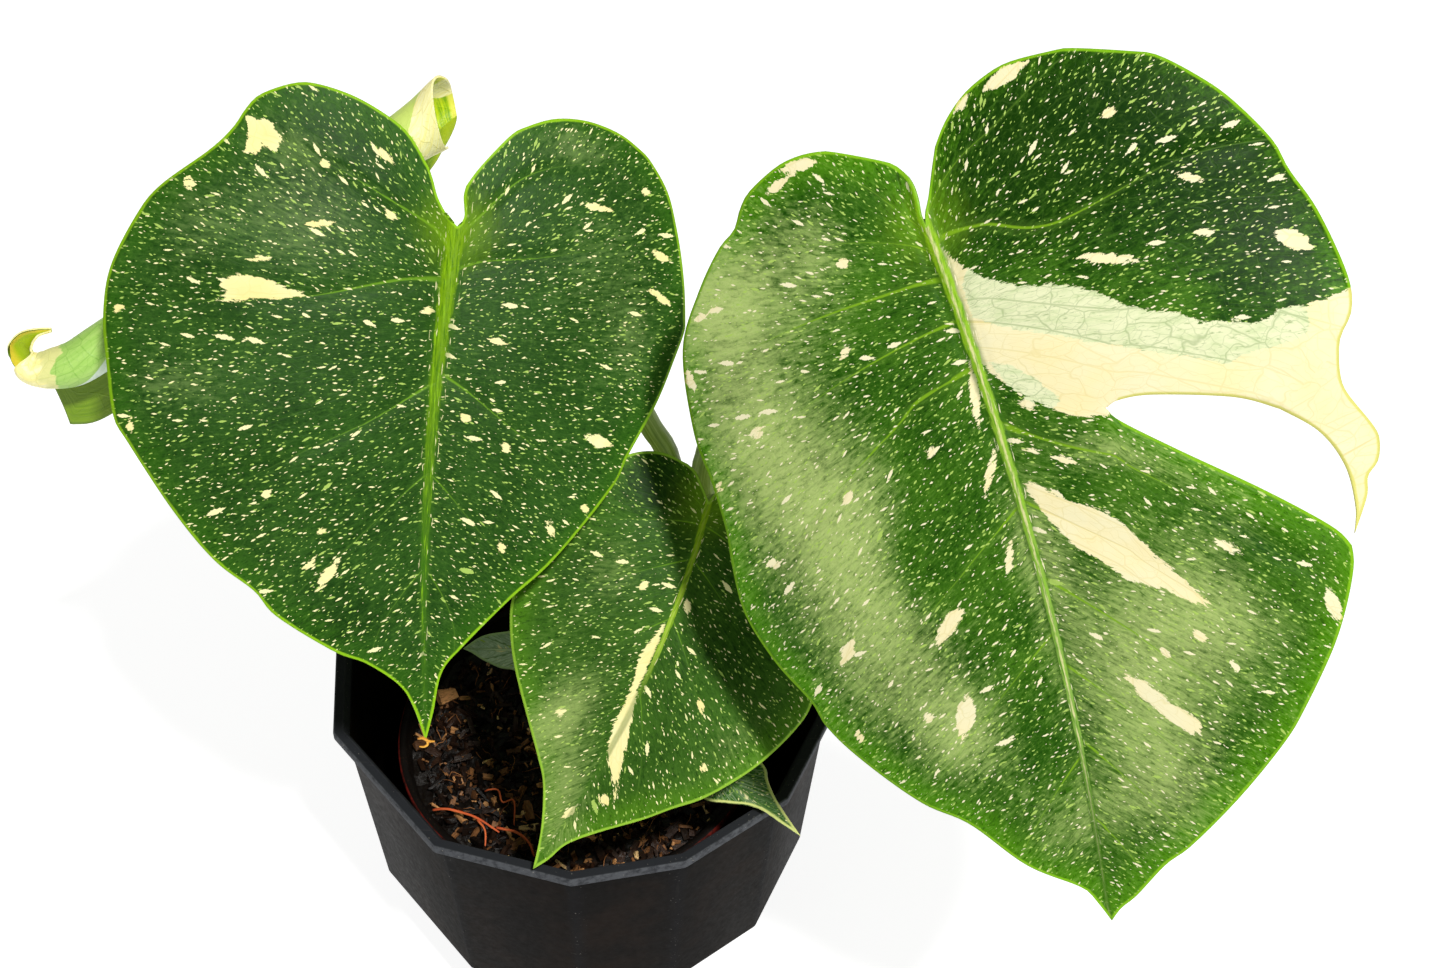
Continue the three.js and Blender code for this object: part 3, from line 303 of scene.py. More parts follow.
# %% Margins
MARGINS = {
    "left": {
        "leftNotch": [(0.2, -0.4), (-3.3, -3.7), (-6.6, -8.9), (-8.5, -14.5), (-10, -18.3)],
        "leftEdge": [
            (-10, -18.3), (-16.3, -27.7), (-22.6, -32.8), (-34.4, -38.5), (-46.4, -41.3), (-53.9, -40.8),
            (-63.8, -36.3), (-68.1, -31.4), (-71.7, -25.1), (-78.3, -17.5), (-92.7, -4.8), (-99.4, 5.2),
            (-106.3, 22), (-107.7, 37.2), (-106.1, 51.2), (-103.2, 68.1), (-98.3, 76.5), (-83.7, 97.3),
            (-70.6, 112.1), (-57.8, 121.4), (-50.5, 129.3), (-31.4, 140.6), (-20.7, 144.5), (-9.1, 152),
            (-3.7, 159.7), (1.5, 171.7)],
        "rightNotch": [(0.2, -0.4), (1.6, -1.8), (2.4, -4), (2.2, -6.8), (1.9, -10.4), (2.5, -13.7)],
        "rightEdge": [
            (2.5, -13.7), (6.8, -20.4), (16.2, -31.6), (21.5, -35.2), (31.2, -39), (42.4, -39.6), (53.7, -37),
            (61.7, -32.6), (66.3, -28.7), (72.6, -19.4), (76.4, -7.5), (81.3, 11.6), (83, 24.6),
            (82.4, 29.2), (78.6, 38.7), (72.5, 53.4), (63.9, 70.7), (58.3, 83.2), (39.1, 107.8),
            (25, 121.9), (11.3, 137.8), (4.8, 147.3), (3.1, 161.4), (1.5, 171.7)],
    },
    "right": {
        "leftNotch": [(0, 0), (-0.8, -3), (-0.5, -7.7), (-0.8, -11.8), (-1.6, -14.8)],
        "leftEdge": [
            (-1.6, -14.8), (-3.6, -18.1), (-6.8, -21.2), (-21.5, -28.7), (-26.8, -30.3), (-33.5, -30.7),
            (-40.5, -29.4), (-50.4, -24.8), (-54.7, -20.4), (-58.1, -15), (-64.5, -10.8), (-74.5, 0.1),
            (-85.4, 16.4), (-90.5, 42.2), (-88.5, 59.2), (-87.3, 74.2), (-88.6, 85.6), (-89.8, 103),
            (-84.6, 119.6), (-75.3, 134.3), (-72.5, 142.2), (-64.6, 153.6), (-48.7, 171.7),
            (-35.5, 181.5), (-22, 198.2), (-7.9, 208.9), (-4.6, 214.5), (-1.8, 222)],
        "rightNotch": [(0, 0), (0.8, -3.2), (2.3, -6.9), (5, -13.7), (8.2, -21.3)],
        "upperEdge": [
            (8.2, -21.3), (12.9, -27.5), (19.6, -33.2), (26.9, -36.7), (34.9, -38.6), (47.2, -38),
            (53.1, -37.1), (68.8, -31.3), (75.9, -27.9), (85.3, -18.8), (92.4, -9.9), (100.2, 4),
            (102.7, 13.5), (107.5, 26.9), (110.8, 46.1), (109.6, 56.1), (105.1, 62.4), (103.7, 65.8)],
        "slitStart": (37.9, 65.5),
        "slitTop": [(41.8, 64.1), (51.8, 65.1), (72.9, 71.5), (84.2, 78.2)],
        "tailInside": [(84.2, 78.2), (93.2, 87.7), (97.7, 99.2), (97.7, 111), (95.6, 118.3)],
        "tailOutside": [
            (103.7, 65.8), (102.4, 72.5), (102.9, 78.6), (107.8, 90.3), (108.3, 95.2), (106.5, 100.3),
            (102.9, 103.7), (101.3, 109.1), (95.6, 118.3)],
        "slitBottom": [(40.4, 69.8), (54.1, 82), (74.3, 99.4), (90, 114.7), (94, 121.4)],
        "lowerEdge": [
            (94, 121.4), (93.1, 127.4), (88.1, 139), (81.4, 150.7), (70.1, 165.9), (62.3, 174.5),
            (46.2, 188.1), (28.4, 200.9), (19.3, 205.8), (8.1, 214.6), (2.2, 218.2), (-1.8, 222)],
    },
    "middle": {
        "leftNotch": [(0, 0), (-4.1, -3.8), (-8.6, -7.5), (-12.3, -8.8)],
        "leftEdge": [
            (-12.3, -8.8), (-23, -8.4), (-32.1, -3.2), (-39.7, 6.8), (-44.8, 22.7), (-47.7, 40.7),
            (-47.6, 54.9), (-45.7, 64.5), (-37.9, 78.4), (-22.9, 96.4), (-15.2, 105.5), (-9.5, 113.3),
            (-3.4, 128), (0.1, 142.1)],
        "rightNotch": [(0, 0), (0.6, -3.9), (1.8, -7.7), (4, -10.5)],
        "rightEdge": [
            (4, -10.5), (10.8, -12.6), (20.6, -10.6), (32.8, -2.9), (44.3, 9), (54.4, 23.6), (59.6, 36.4),
            (62.8, 48.7), (61.5, 58.7), (56.9, 71.2), (50.7, 82.4), (42.4, 94), (34.5, 101.6),
            (26.8, 109.6), (15.5, 119.8), (7, 128.8), (3.6, 136.4), (0.1, 142.1)],
    },
    "youngBack": {
        "leftNotch": [(0, 0), (-1, -1.2), (-2.4, -1.6)],
        "leftEdge": [(-2.4, -1.6), (-5.1, 1.1), (-8.9, 8.6), (-9.8, 18.9), (-7.9, 28.9), (-5.8, 40.8),
                     (-0.5, 49.3)],
        "rightNotch": [(0, 0), (1, -1.3), (2.2, -1.8)],
        "rightEdge": [(2.2, -1.8), (5, -0.6), (9, 5.2), (10.6, 15.2), (8, 27.1), (7.3, 32.3), (4.1, 40),
                      (1.2, 45.1), (-0.5, 49.3)],
    },
    "youngFront": {
        "leftNotch": [(0, 0), (-1, -1.4), (-2.4, -1.8)],
        "leftEdge": [(-2.4, -1.8), (-4.5, -0.1), (-10, 8.1), (-11.1, 20.8), (-7.2, 28.9), (-3.2, 35.4),
                     (-1, 41.5), (-0.5, 48.9), (0.5, 59)],
        "rightNotch": [(0, 0), (1.4, -1.4), (3, -1.4)],
        "rightEdge": [(3, -1.4), (6.8, 2.3), (12.7, 13.9), (12.3, 29.8), (8.5, 35.9), (5.5, 42.1),
                      (2.9, 50.3), (0.5, 59)],
    },
}
print("margin points of the right leaf:", sum(len(line) for line in MARGINS["right"].values()))

# %% [markdown]
# ## Side veins
# Side veins leave the midrib and sweep out towards the margin. Each one here is a strength and a few points: how
# far out it is, from 0 at the midrib to 1 at the margin, and how far along the half blade it lies. Because the
# rows of the mesh follow the same sweep, a vein needs only two to four points.

# %% Veins of each half blade
PLAIN_VEINS = [
    (0.5, [(0, 0.08), (1, 0.12)]), (0.8, [(0, 0.2), (0.5, 0.27), (1, 0.3)]),
    (0.8, [(0, 0.38), (0.5, 0.45), (1, 0.49)]), (0.6, [(0, 0.56), (0.5, 0.62), (1, 0.66)]),
    (0.5, [(0, 0.72), (1, 0.82)]),
]
VEINS = {
    "left": {
        "left": [
            (0.25, [(0, 0.04), (1, 0.09)]),
            (0.95, [(0, 0.135), (0.31, 0.177), (0.57, 0.198), (1, 0.235)]),
            (1.0, [(0, 0.292), (0.36, 0.399), (0.67, 0.427), (1, 0.45)]),
            (0.5, [(0, 0.555), (0.18, 0.594), (0.38, 0.615), (1, 0.66)]),
            (0.25, [(0, 0.7), (0.4, 0.75), (1, 0.79)]),
            (0.2, [(0, 0.82), (1, 0.9)])],
        "right": [
            (0.9, [(0, 0.11), (0.15, 0.125), (0.52, 0.149), (0.81, 0.222), (1, 0.25)]),
            (0.6, [(0, 0.255), (0.33, 0.312), (0.64, 0.333), (1, 0.36)]),
            (0.5, [(0, 0.535), (0.32, 0.597), (0.69, 0.642), (1, 0.68)]),
            (0.25, [(0, 0.7), (0.4, 0.75), (1, 0.79)]),
            (0.2, [(0, 0.82), (1, 0.9)])],
    },
    "right": {
        "left": [
            (0.3, [(0, 0.06), (1, 0.1)]),
            (0.3, [(0, 0.14), (0.5, 0.19), (1, 0.22)]),
            (0.9, [(0, 0.243), (0.28, 0.289), (1, 0.35)]),
            (0.6, [(0, 0.38), (0.5, 0.41), (1, 0.45)]),
            (0.9, [(0, 0.508), (0.21, 0.494), (0.35, 0.512), (1, 0.56)]),
            (0.4, [(0, 0.66), (1, 0.7)]), (0.35, [(0, 0.76), (1, 0.8)]), (0.3, [(0, 0.86), (1, 0.9)])],
        "upper": [
            (0.35, [(0, 0.0), (0.23, 0.035), (0.47, 0.12), (0.64, 0.19), (1, 0.25)]),
            (1.0, [(0, 0.13), (0.2, 0.34), (0.36, 0.49), (0.76, 0.52), (1, 0.56)]),
            (0.45, [(0, 0.68), (0.22, 0.776), (0.44, 0.849), (0.72, 0.911), (1, 0.95)])],
        "tail": [(0.3, [(0, 0.5), (1, 0.5)])],
        "lower": [
            (0.9, [(0, 0.06), (0.2, 0.076), (0.54, 0.076), (0.85, 0.097), (1, 0.11)]),
            (0.5, [(0, 0.2), (0.5, 0.24), (1, 0.27)]),
            (0.6, [(0, 0.34), (0.5, 0.39), (1, 0.43)]), (0.4, [(0, 0.5), (0.5, 0.55), (1, 0.59)]),
            (0.4, [(0, 0.64), (0.5, 0.69), (1, 0.73)]), (0.3, [(0, 0.79), (1, 0.87)])],
    },
    "middle": {side: [(power * 0.4, points) for power, points in PLAIN_VEINS] for side in ("left", "right")},
    "youngBack": {"left": PLAIN_VEINS, "right": PLAIN_VEINS},
    "youngFront": {"left": PLAIN_VEINS, "right": PLAIN_VEINS},
}
print("main side veins:", {name: sum(map(len, halves.values())) for name, halves in VEINS.items()})

# %% [markdown]
# ## Drawn lines and rows
# A margin is a smooth line through its points. A half blade is a patch of rows that run from the midrib to that
# line; the first row bends along the notch, and beside the split the last row bends along the split.

# %% A smooth walk along a drawn line
def walk(points):
    """A function from 0 to 1 that moves evenly along a smooth line through the points."""
    knots = np.array(points, float)
    ends = np.vstack([knots[:1], knots, knots[-1:]])
    w = np.linspace(0, 1, 25)[:-1, None]
    dense = []
    for p0, p1, p2, p3 in zip(ends, ends[1:], ends[2:], ends[3:]):
        v0, v1 = (p2 - p0) / 2, (p3 - p1) / 2
        dense.append((2 * p1 - 2 * p2 + v0 + v1) * w ** 3 + (-3 * p1 + 3 * p2 - 2 * v0 - v1) * w ** 2
                     + v0 * w + p1)
    dense = np.vstack(dense + [knots[-1:]])
    length = np.concatenate([[0], np.cumsum(np.linalg.norm(np.diff(dense, axis=0), axis=1))])

    def at(share):
        run = np.asarray(share, float) * length[-1]
        return np.stack([np.interp(run, length, dense[:, axis]) for axis in range(dense.shape[1])], -1)
    return at


print("half way along the left margin:", np.round(walk(MARGINS["left"]["leftEdge"])(0.5), 1))

# %% [markdown]
# A blade isn't flat. Its plan is lifted to a bowed surface: a shallow valley at the midrib, sides that turn down, a
# tip that droops and a margin that ripples. Three directions say how the whole blade stands in the room.

# %% The frame and the height of a blade
def frame_of(leaf):
    base = np.array(leaf["base"], float)
    along = np.array(leaf["tip"], float) - base
    length = np.linalg.norm(along)
    along = along / length
    out = np.array(leaf["faces"], float)
    out = out - (out @ along) * along
    out = out / np.linalg.norm(out)
    return base, length, along, np.cross(out, along), out


def rib_offset(leaf, length, v):
    t = np.clip(v / length, 0, 1)
    return leaf["bow"] * 4 * t * (1 - t) + leaf["tipU"] * t * t


def height_of(leaf, length, u, v):
    """A shallow valley at the midrib, sides that turn down, a drooping tip and a rippled margin."""
    offset = u - rib_offset(leaf, length, v)
    away = np.sqrt(offset * offset + 36) - 6
    drop = np.where(offset < 0, leaf["drop"][0], leaf["drop"][1])
    phase = np.where(offset < 0, leaf["phase"][0], leaf["phase"][1])
    return (leaf["rise"] * away - drop * away * away - leaf["arch"] * (v - leaf["archFrom"]) ** 2
            + leaf["ripple"] * (away / leaf["half"]) ** 2 * np.sin(2 * np.pi * v / leaf["wave"] + phase))


for name, leaf in LEAVES.items():
    print(name, "blade is", round(frame_of(leaf)[1]), "mm from notch to tip")

# %% The patches of a blade
def patches_of(name):
    """The half blades, and for the split leaf its four parts."""
    leaf, margin = LEAVES[name], MARGINS[name]
    length = frame_of(leaf)[1]
    rows, columns, rib_from = leaf["rows"], leaf["columns"], leaf["ribFrom"]
    tip = margin["leftEdge"][-1][1]

    def on_rib(v):
        v = np.asarray(v, float)
        return np.stack([rib_offset(leaf, length, v), v], -1)

    def rib(start, end, pace):
        return lambda t: on_rib(start + (end - start) * (0.1 * t + 0.9 * t ** pace))

    def beside(v, side, shared):
        line, share, start = walk(side), shared / columns, on_rib(v)

        def at(s):
            s = np.asarray(s, float)
            straight = start + (line(0) - start) * np.clip(s / share, 0, 1)[..., None]
            return np.where((s <= share)[..., None], straight, line(np.clip((s - share) / (1 - share), 0, 1)))
        return at

    left = dict(name="left", inner=rib(rib_from, tip, 2.4), outer=walk(margin["leftEdge"]), last=None,
                first=beside(rib_from, margin["leftNotch"], 1), rows=rows, columns=columns)
    if "slitStart" not in margin:
        return [left, dict(left, name="right", outer=walk(margin["rightEdge"]),
                           first=beside(rib_from, margin["rightNotch"], 1))]
    slit_rows, slit_columns = leaf["slitRows"], leaf["slitColumns"]
    above, below = rib(rib_from, leaf["slitVein"], 1.6), rib(leaf["slitVein"], tip, 1)
    share = slit_rows / rows
    left["inner"] = lambda t: np.where((np.asarray(t) <= share)[..., None], above(np.clip(t / share, 0, 1)),
                                       below(np.clip((t - share) / (1 - share), 0, 1)))
    edge, inside, outside = (walk(margin[key]) for key in ("upperEdge", "tailInside", "tailOutside"))
    to_tail = 1 - leaf["tailColumns"] / slit_rows

    def upper_outer(t):
        t = np.asarray(t, float)
        across_tail = outside(0) + (inside(0) - outside(0)) * np.clip((t - to_tail) / (1 - to_tail), 0, 1)[..., None]
        return np.where((t <= to_tail + 1e-9)[..., None], edge(np.clip(t / to_tail, 0, 1)), across_tail)

    slit = lambda side: beside(leaf["slitVein"], [margin["slitStart"]] + margin[side], slit_columns)
    return [
        left,
        dict(name="upper", inner=above, outer=upper_outer, first=beside(rib_from, margin["rightNotch"], 1),
             last=slit("slitTop"), rows=slit_rows, columns=columns),
        dict(name="tail", inner=inside, outer=outside, last=None, rows=leaf["tailRows"],
             columns=leaf["tailColumns"],
             first=lambda s: inside(0) + (outside(0) - inside(0)) * np.asarray(s, float)[..., None]),
        dict(name="lower", inner=below, outer=walk(margin["lowerEdge"]), first=slit("slitBottom"), last=None,
             rows=rows - slit_rows, columns=columns)]


print("patches of the right leaf:", [patch["name"] for patch in patches_of("right")])

# %% The flat places of a patch
def plan_of(patch, finer):
    """The flat places of a patch, row by row, with closer columns beside the midrib."""
    finer_rows, finer_columns = finer
    if patch["name"] == "tail":
        finer_columns = finer_rows
    rows, columns = patch["rows"] * finer_rows, patch["columns"] * finer_columns
    t, s = np.linspace(0, 1, rows + 1), np.linspace(0, 1, columns + 1)
    if patch["name"] != "tail":
        s = 0.45 * s + 0.55 * s ** 1.7
    inner, outer = patch["inner"](t)[:, None], patch["outer"](t)[:, None]
    bend = lambda row: row(s) - (row(0.0) + (row(1.0) - row(0.0)) * s[:, None])
    plan = inner + (outer - inner) * s[None, :, None] + bend(patch["first"])[None] * ((1 - t) ** 3)[:, None, None]
    if patch["last"] is not None:
        plan = plan + bend(patch["last"])[None] * (t ** 3)[:, None, None]
    return t, s, plan


for patch in patches_of("right"):
    print(patch["name"], "patch has", patch["rows"], "rows and", patch["columns"], "columns in the solid")

# %% [markdown]
# ## Fields that a blade carries
# A leaf's pattern follows its own anatomy. So each corner of the mesh carries plain measures that a finish can
# read: its place on the plan, how far it is from the midrib, the margin and the nearest side vein, which way the
# veins run there, and how far it is from the nearest cream area. Measures interpolate smoothly, so a line drawn
# from them stays crisp even where the mesh is coarse.

# %% Distance to a drawn line
def distance_to(points, line, closed=False):
    """How far each point is from a line of straight runs; below zero inside a closed one."""
    line = np.array(line, float)
    ends = np.vstack([line, line[:1]]) if closed else line
    best = np.full(points.shape[:-1], 1e9)
    inside = np.zeros(points.shape[:-1], bool)
    x, y = points[..., 0], points[..., 1]
    for (ax, ay), (bx, by) in zip(ends[:-1], ends[1:]):
        dx, dy = bx - ax, by - ay
        share = np.clip(((x - ax) * dx + (y - ay) * dy) / (dx * dx + dy * dy + 1e-12), 0, 1)
        best = np.minimum(best, np.hypot(x - ax - share * dx, y - ay - share * dy))
        if closed and ay != by:
            inside ^= ((ay > y) != (by > y)) & (x < dx * (y - ay) / dy + ax)
    return np.where(inside, -best, best) if closed else best


square = [(0, 0), (10, 0), (10, 10), (0, 10)]
print("inside and outside a 10 mm square:", distance_to(np.array([[5.0, 4.0], [13.0, 5.0]]), square, True))

# %% Count of veins
END_REACH = 14
WIDE_GAP = 30.0


def vein_count(plan, t, s, veins):
    """Whole numbers lie on a vein; also gives the gap between the two nearest veins and their strength."""
    rows = len(t) - 1
    column = np.arange(len(s))
    places, distances = [], []
    for _, points in veins:
        line = walk(points)(np.linspace(0, 1, 80))
        at = np.interp(s, line[:, 0], line[:, 1])
        low = np.clip(np.floor(at * rows).astype(int), 0, rows - 1)
        share = (at * rows - low)[:, None]
        places.append(at)
        distances.append(distance_to(plan, plan[low, column] * (1 - share) + plan[low + 1, column] * share))
    strength = [vein[0] for vein in veins]
    count = 1 - np.minimum(distances[0], END_REACH) / WIDE_GAP
    gap = np.full(count.shape, WIDE_GAP)
    power = np.full(count.shape, strength[0])
    for number in range(len(veins)):
        past = t[:, None] >= places[number][None]
        if number + 1 < len(veins):
            here, there = distances[number], distances[number + 1]
            part = here / (here + there + 1e-9)
            values = (number + 1 + part, here + there, strength[number] * (1 - part) + strength[number + 1] * part)
        else:
            values = (number + 1 + np.minimum(distances[number], END_REACH) / WIDE_GAP,
                      np.full(count.shape, WIDE_GAP), np.full(count.shape, strength[number]))
        count, gap, power = (np.where(past, new, old) for new, old in zip(values, (count, gap, power)))
    return count, gap, power


print("past the first and last vein the gap counts as", WIDE_GAP, "mm")

# %% [markdown]
# ## Cream, mint and flecks
# Variegation is a patchwork of cells that lack green. The largest areas are given as a few-point
# outline each; the next size down are lozenges with a place, a length, a width and a slant. The countless small
# flecks are left to the finish. Mint areas are half-tones, where only the upper cell layers are white.

# %% Large pale areas
CREAM_OUTLINES = {
    "left": [
        [(-73.2, 24.7), (-69.8, 21.4), (-63.5, 21.1), (-58.8, 22.4), (-47, 26.2), (-52.4, 27.6), (-60, 28),
         (-68.9, 29.4), (-76, 30.8), (-71.2, 27.5)],
        [(-68, -29), (-60, -28), (-58, -24), (-56, -20), (-60, -19), (-64, -21), (-63, -17), (-68, -17),
         (-67, -22)]],
    "right": [
        [(1.5, 5), (4, 10.1), (6.9, 14), (12.3, 19.2), (18.4, 22.7), (24.3, 25.2), (31.3, 26.6), (40, 30.2),
         (45.2, 33.7), (49.1, 37), (56.5, 41.4), (63.3, 43.9), (69.4, 48.2), (76.8, 50), (82.5, 52.4),
         (87.1, 52.4), (91.2, 50.4), (98.7, 51.8), (114, 50), (116, 64), (104, 82), (88, 84), (84, 80),
         (72.9, 73), (51.8, 66.8), (43, 66.5), (37.1, 67.8), (28.9, 65.7), (21.6, 61.3), (12.5, 53),
         (7.7, 47), (5.5, 43), (4.2, 33.7), (3, 24.4), (1.6, 14.4)],
        [(8.7, 80.5), (12.9, 82.8), (21, 89.8), (30, 94.8), (34.5, 100), (38.5, 107.1), (44.4, 116.2),
         (53.5, 131), (48.2, 127.5), (41.2, 121.5), (31.2, 116.3), (24.4, 108.1), (18.5, 103.2),
         (14.2, 95.6), (10.4, 87.4)],
        [(22.7, 143.8), (27.9, 147), (33.4, 154.5), (40.7, 162.3), (39.7, 168), (34.5, 163.4),
         (29.8, 157.9), (25.3, 151.1)]],
    "middle": [
        [(4.4, 44), (5.3, 51), (5.6, 60), (6, 69.6), (8, 77.5), (10.6, 87.9), (12.8, 97.5), (15.6, 107.7),
         (10.6, 100.2), (5.8, 93.9), (3.6, 84), (3.9, 74.7), (3.3, 67.4), (1.3, 58.6)]],
}
MINT_OUTLINES = {
    "right": [
        [(9, 16), (18.4, 22.7), (24.3, 25.2), (31.3, 26.6), (40, 30.2), (45.2, 33.7), (49.1, 37),
         (56.5, 41.4), (63.3, 43.9), (69.4, 48.2), (76.8, 50), (82.5, 52.4), (87.1, 52.4), (91.2, 50.4),
         (98.7, 51.8), (97.4, 58.2), (93.9, 60.1), (88.4, 60.4), (80.6, 60.3), (77.5, 60.8), (73.9, 62),
         (64.4, 57.3), (56, 53.9), (46.1, 49.1), (36.3, 45), (30.6, 41.8), (21.1, 38), (13.9, 34.7),
         (6.5, 30), (6, 20)],
        [(8, 44), (13, 46), (20, 52), (26, 60), (22, 62.5), (12.5, 54)]],
}
print("outlined areas:", {name: len(areas) for name, areas in CREAM_OUTLINES.items()})

# %% Lozenges: place, length, width and slant in degrees
CREAM_LOZENGES = {
    "left": [
        (-35, 115, 13, 3.8, 120), (52, 67, 11, 4.6, -163), (46, -11, 11.3, 2.9, -175), (-84, -6, 6, 4.2, 81),
        (71, 3, 8, 3.2, -164), (72, 17, 12, 3, -149), (-25, -21, 9.4, 2.4, -146), (37, 97, 6.4, 3, 63),
        (-44, 3, 9, 2.2, 171), (15, 36, 6.1, 2.6, -169), (-41, 112, 8, 2.4, 125), (-62, 16, 7.3, 2.2, 173),
        (6, 62, 4.2, 3.4, -152), (49, 90, 4.6, 3.3, 71), (-98, 71, 5, 2.8, 98), (64, -18, 4.4, 3.4, 0),
        (-56, 90, 5, 2.8, 136), (21, 104, 5, 2.8, 70), (-43, -16, 4, 3, -152), (20, 71, 4.6, 3, -141),
        (-103, 35, 4, 3, 161), (-38, 101, 4, 2.6, 130), (-8, 28, 5, 2.4, 170), (-22, -2, 5, 2.6, -150)],
    "right": [
        (-27, 147, 15.6, 6.2, 114), (-24, 118, 16.7, 5, 138), (99, 33, 13, 5.4, -143),
        (33, -35, 15.7, 5, 164), (85, 137, 11, 4.4, 83), (49, 24, 21.5, 2.9, -161), (-33, -28, 11.7, 4.4, -177),
        (-58, 120, 11.4, 4.2, 131), (1.5, 52, 20, 3, 98), (61, 113, 9.2, 3.2, -140), (76, 8, 8.5, 2.8, -150),
        (-1, 102, 10.4, 2.6, 110), (0, 76, 15, 2.8, 116), (-41, -24, 9, 3.4, 164), (-68, 47, 7.9, 3.2, 158),
        (47, 137, 6.5, 3, 50), (59, -16, 5.4, 3.2, 170), (-74, 88, 6, 4, 177), (-15, 65, 7.3, 3, 152),
        (76, 24, 6.7, 2.8, -164), (-27, 4, 4, 3.6, 0), (-76, 8, 5, 3.2, 170), (-44, 73, 6, 2.8, 139),
        (16, 60, 6.7, 2.8, -148), (-62, 147, 5, 3, 90), (-38, 145, 6, 3, 154), (-70, 7, 5, 3, 179),
        (-33, 30, 5, 2.8, 146), (-86, 61, 5.6, 3, 149), (36, 140, 5, 2.8, 74), (19, -31, 7, 2.8, 147),
        (-86, 26, 9, 3.6, 80), (22, 77, 8, 3, -150), (14, 72, 8, 2.8, -155)],
    "middle": [
        (12, 109, 6, 3.6, -159), (28, 65, 6, 2.8, 54), (-46, 50, 7, 3, 95), (-8, 36, 5, 3, 100),
        (9, 36, 5, 3, 60), (38, 84, 5, 2.8, 40), (-15, 88, 5, 2.6, 120), (3, 118, 7, 2.8, 110)],
}


def lozenge_distance(points, u, v, length, width, slant):
    turn = math.radians(slant)
    x, y = points[..., 0] - u, points[..., 1] - v
    along = np.abs(x * math.cos(turn) + y * math.sin(turn)) * 2 / length
    across = np.abs(y * math.cos(turn) - x * math.sin(turn)) * 2 / width
    return (along ** 1.3 + across ** 1.3 - 1) * width / 2


print("lozenges:", {name: len(marks) for name, marks in CREAM_LOZENGES.items()})

# %% [markdown]
# ## Painted sheen and shade
# The fresh leaf has broad silvery-green zones where its surface lies open to the sky: these are painted sheen, the
# sky's reflection laid into the colour, and only partly a paler green of the leaf itself. It has saturated green
# beside the midrib, and painted shade in the lobe above the cream sector. Each zone is a soft oval: place, two
# radii, slant and amount. An amount below zero deepens the green, as painted shade.

# %% Soft zones of painted sheen and shade
PAINTED_LIGHT = {
    "left": [
        (-50, 2, 20, 18, 0, 0.42), (-55, -22, 15, 6, 20, 0.4), (-85, 57, 16, 8, 0, 0.4), (-82, 8, 12, 16, 0, 0.3),
        (50, 10, 22, 34, 0, 0.28), (38, -31, 14, 7, 0, 0.4), (62, 32, 8, 14, 0, 0.3), (5, -8, 10, 9, 0, -0.5),
        (-38, 92, 38, 26, 0, -0.3), (-30, 134, 16, 14, 0, -0.4), (40, -14, 14, 7, 0, -0.3)],
    "right": [
        (-70, 4, 20, 20, 0, 0.7), (-70, 44, 22, 30, 0, 0.65), (-50, 80, 26, 30, 0, 0.7), (-38, 2, 22, 28, 0, 0.35),
        (-46, 124, 24, 28, 0, 0.55), (-30, 152, 14, 16, 0, 0.55), (-14, 176, 12, 16, 0, 0.1),
        (8, 184, 14, 10, 0, 0.2), (-28, 96, 9, 14, 0, -0.5),
        (58, 96, 26, 8, 42, 0.3), (34, 78, 14, 6, 20, 0.5), (30, 138, 26, 34, 30, 0.65), (60, 132, 18, 20, 0, 0.4),
        (28, 180, 18, 22, 0, 0.45), (8, 100, 9, 24, 0, 0.5), (-6, 190, 10, 12, 0, 0.3), (74, 124, 14, 12, 0, -0.3),
        # The deep ovals over the right leaf's upper lobe are painted shade, where the lobe faces away from the light.
        (46, 92, 20, 4, 40, -0.3), (50, -14, 60, 40, 0, -0.9), (96, 30, 26, 30, 0, -0.6), (-31, -4, 16, 14, 0, 0.25),
        (-16, 60, 10, 44, 0, -0.35), (-6, 140, 5, 40, 0, -0.2)],
    "middle": [
        (-20, 36, 12, 14, 0, 0.35), (-25, 64, 8, 10, 0, 0.15), (-15, 90, 9, 20, 20, 0.85), (-3, 110, 9, 16, 0, 0.6),
        (4, 62, 8, 10, 0, 0.1), (4, 127, 10, 10, 0, 0.4), (45, 72, 12, 14, 0, 0.3),
        # The deep oval at the top of the middle leaf is a painted shadow cast by the leaves above it.
        (-20, 2, 14, 14, 0, -0.95), (22, 30, 24, 40, 0, -0.3)],
    "youngBack": [(3, 30, 10, 16, 0, 0.5)],
    "youngFront": [],
}


def painted_light_at(name, points):
    amount = np.zeros(points.shape[:-1])
    for u, v, wide, tall, slant, strength in PAINTED_LIGHT[name]:
        turn = math.radians(slant)
        x, y = points[..., 0] - u, points[..., 1] - v
        along, across = x * math.cos(turn) + y * math.sin(turn), y * math.cos(turn) - x * math.sin(turn)
        amount += strength * np.exp(-(along / wide) ** 2 - (across / tall) ** 2)
    return np.clip(amount, -1, 1)


print("bloom on the open lobe:", np.round(painted_light_at("left", np.array([[-48.0, 6.0]])), 2))

# %% [markdown]
# ## Building a blade
# Each patch starts as a flat grid. Its vertices are moved to their rows on the plan and then up to the bowed
# surface, with a shallow groove above every side vein and a low swelling between them. The patches are merged
# along the midrib, and a Solidify modifier adds the underside, thicker where the midrib stands out below.

# %% Measures of a patch
RIB_WIDTH = {"left": (3.3, 0.45, 1.3), "right": (2.0, 0.55, 1.0), "middle": (1.3, 0.35, 1.1),
             "youngBack": (0.7, 0.25, 1), "youngFront": (0.7, 0.25, 1)}
MARK_REACH = 8.0
STREAK_SHIFT = {"left": 0, "right": 400, "upper": 400, "tail": 600, "lower": 600}


def free_margin(name):
    return [walk(line)(np.linspace(0, 1, 90)) for key, line in MARGINS[name].items() if key != "slitStart"]


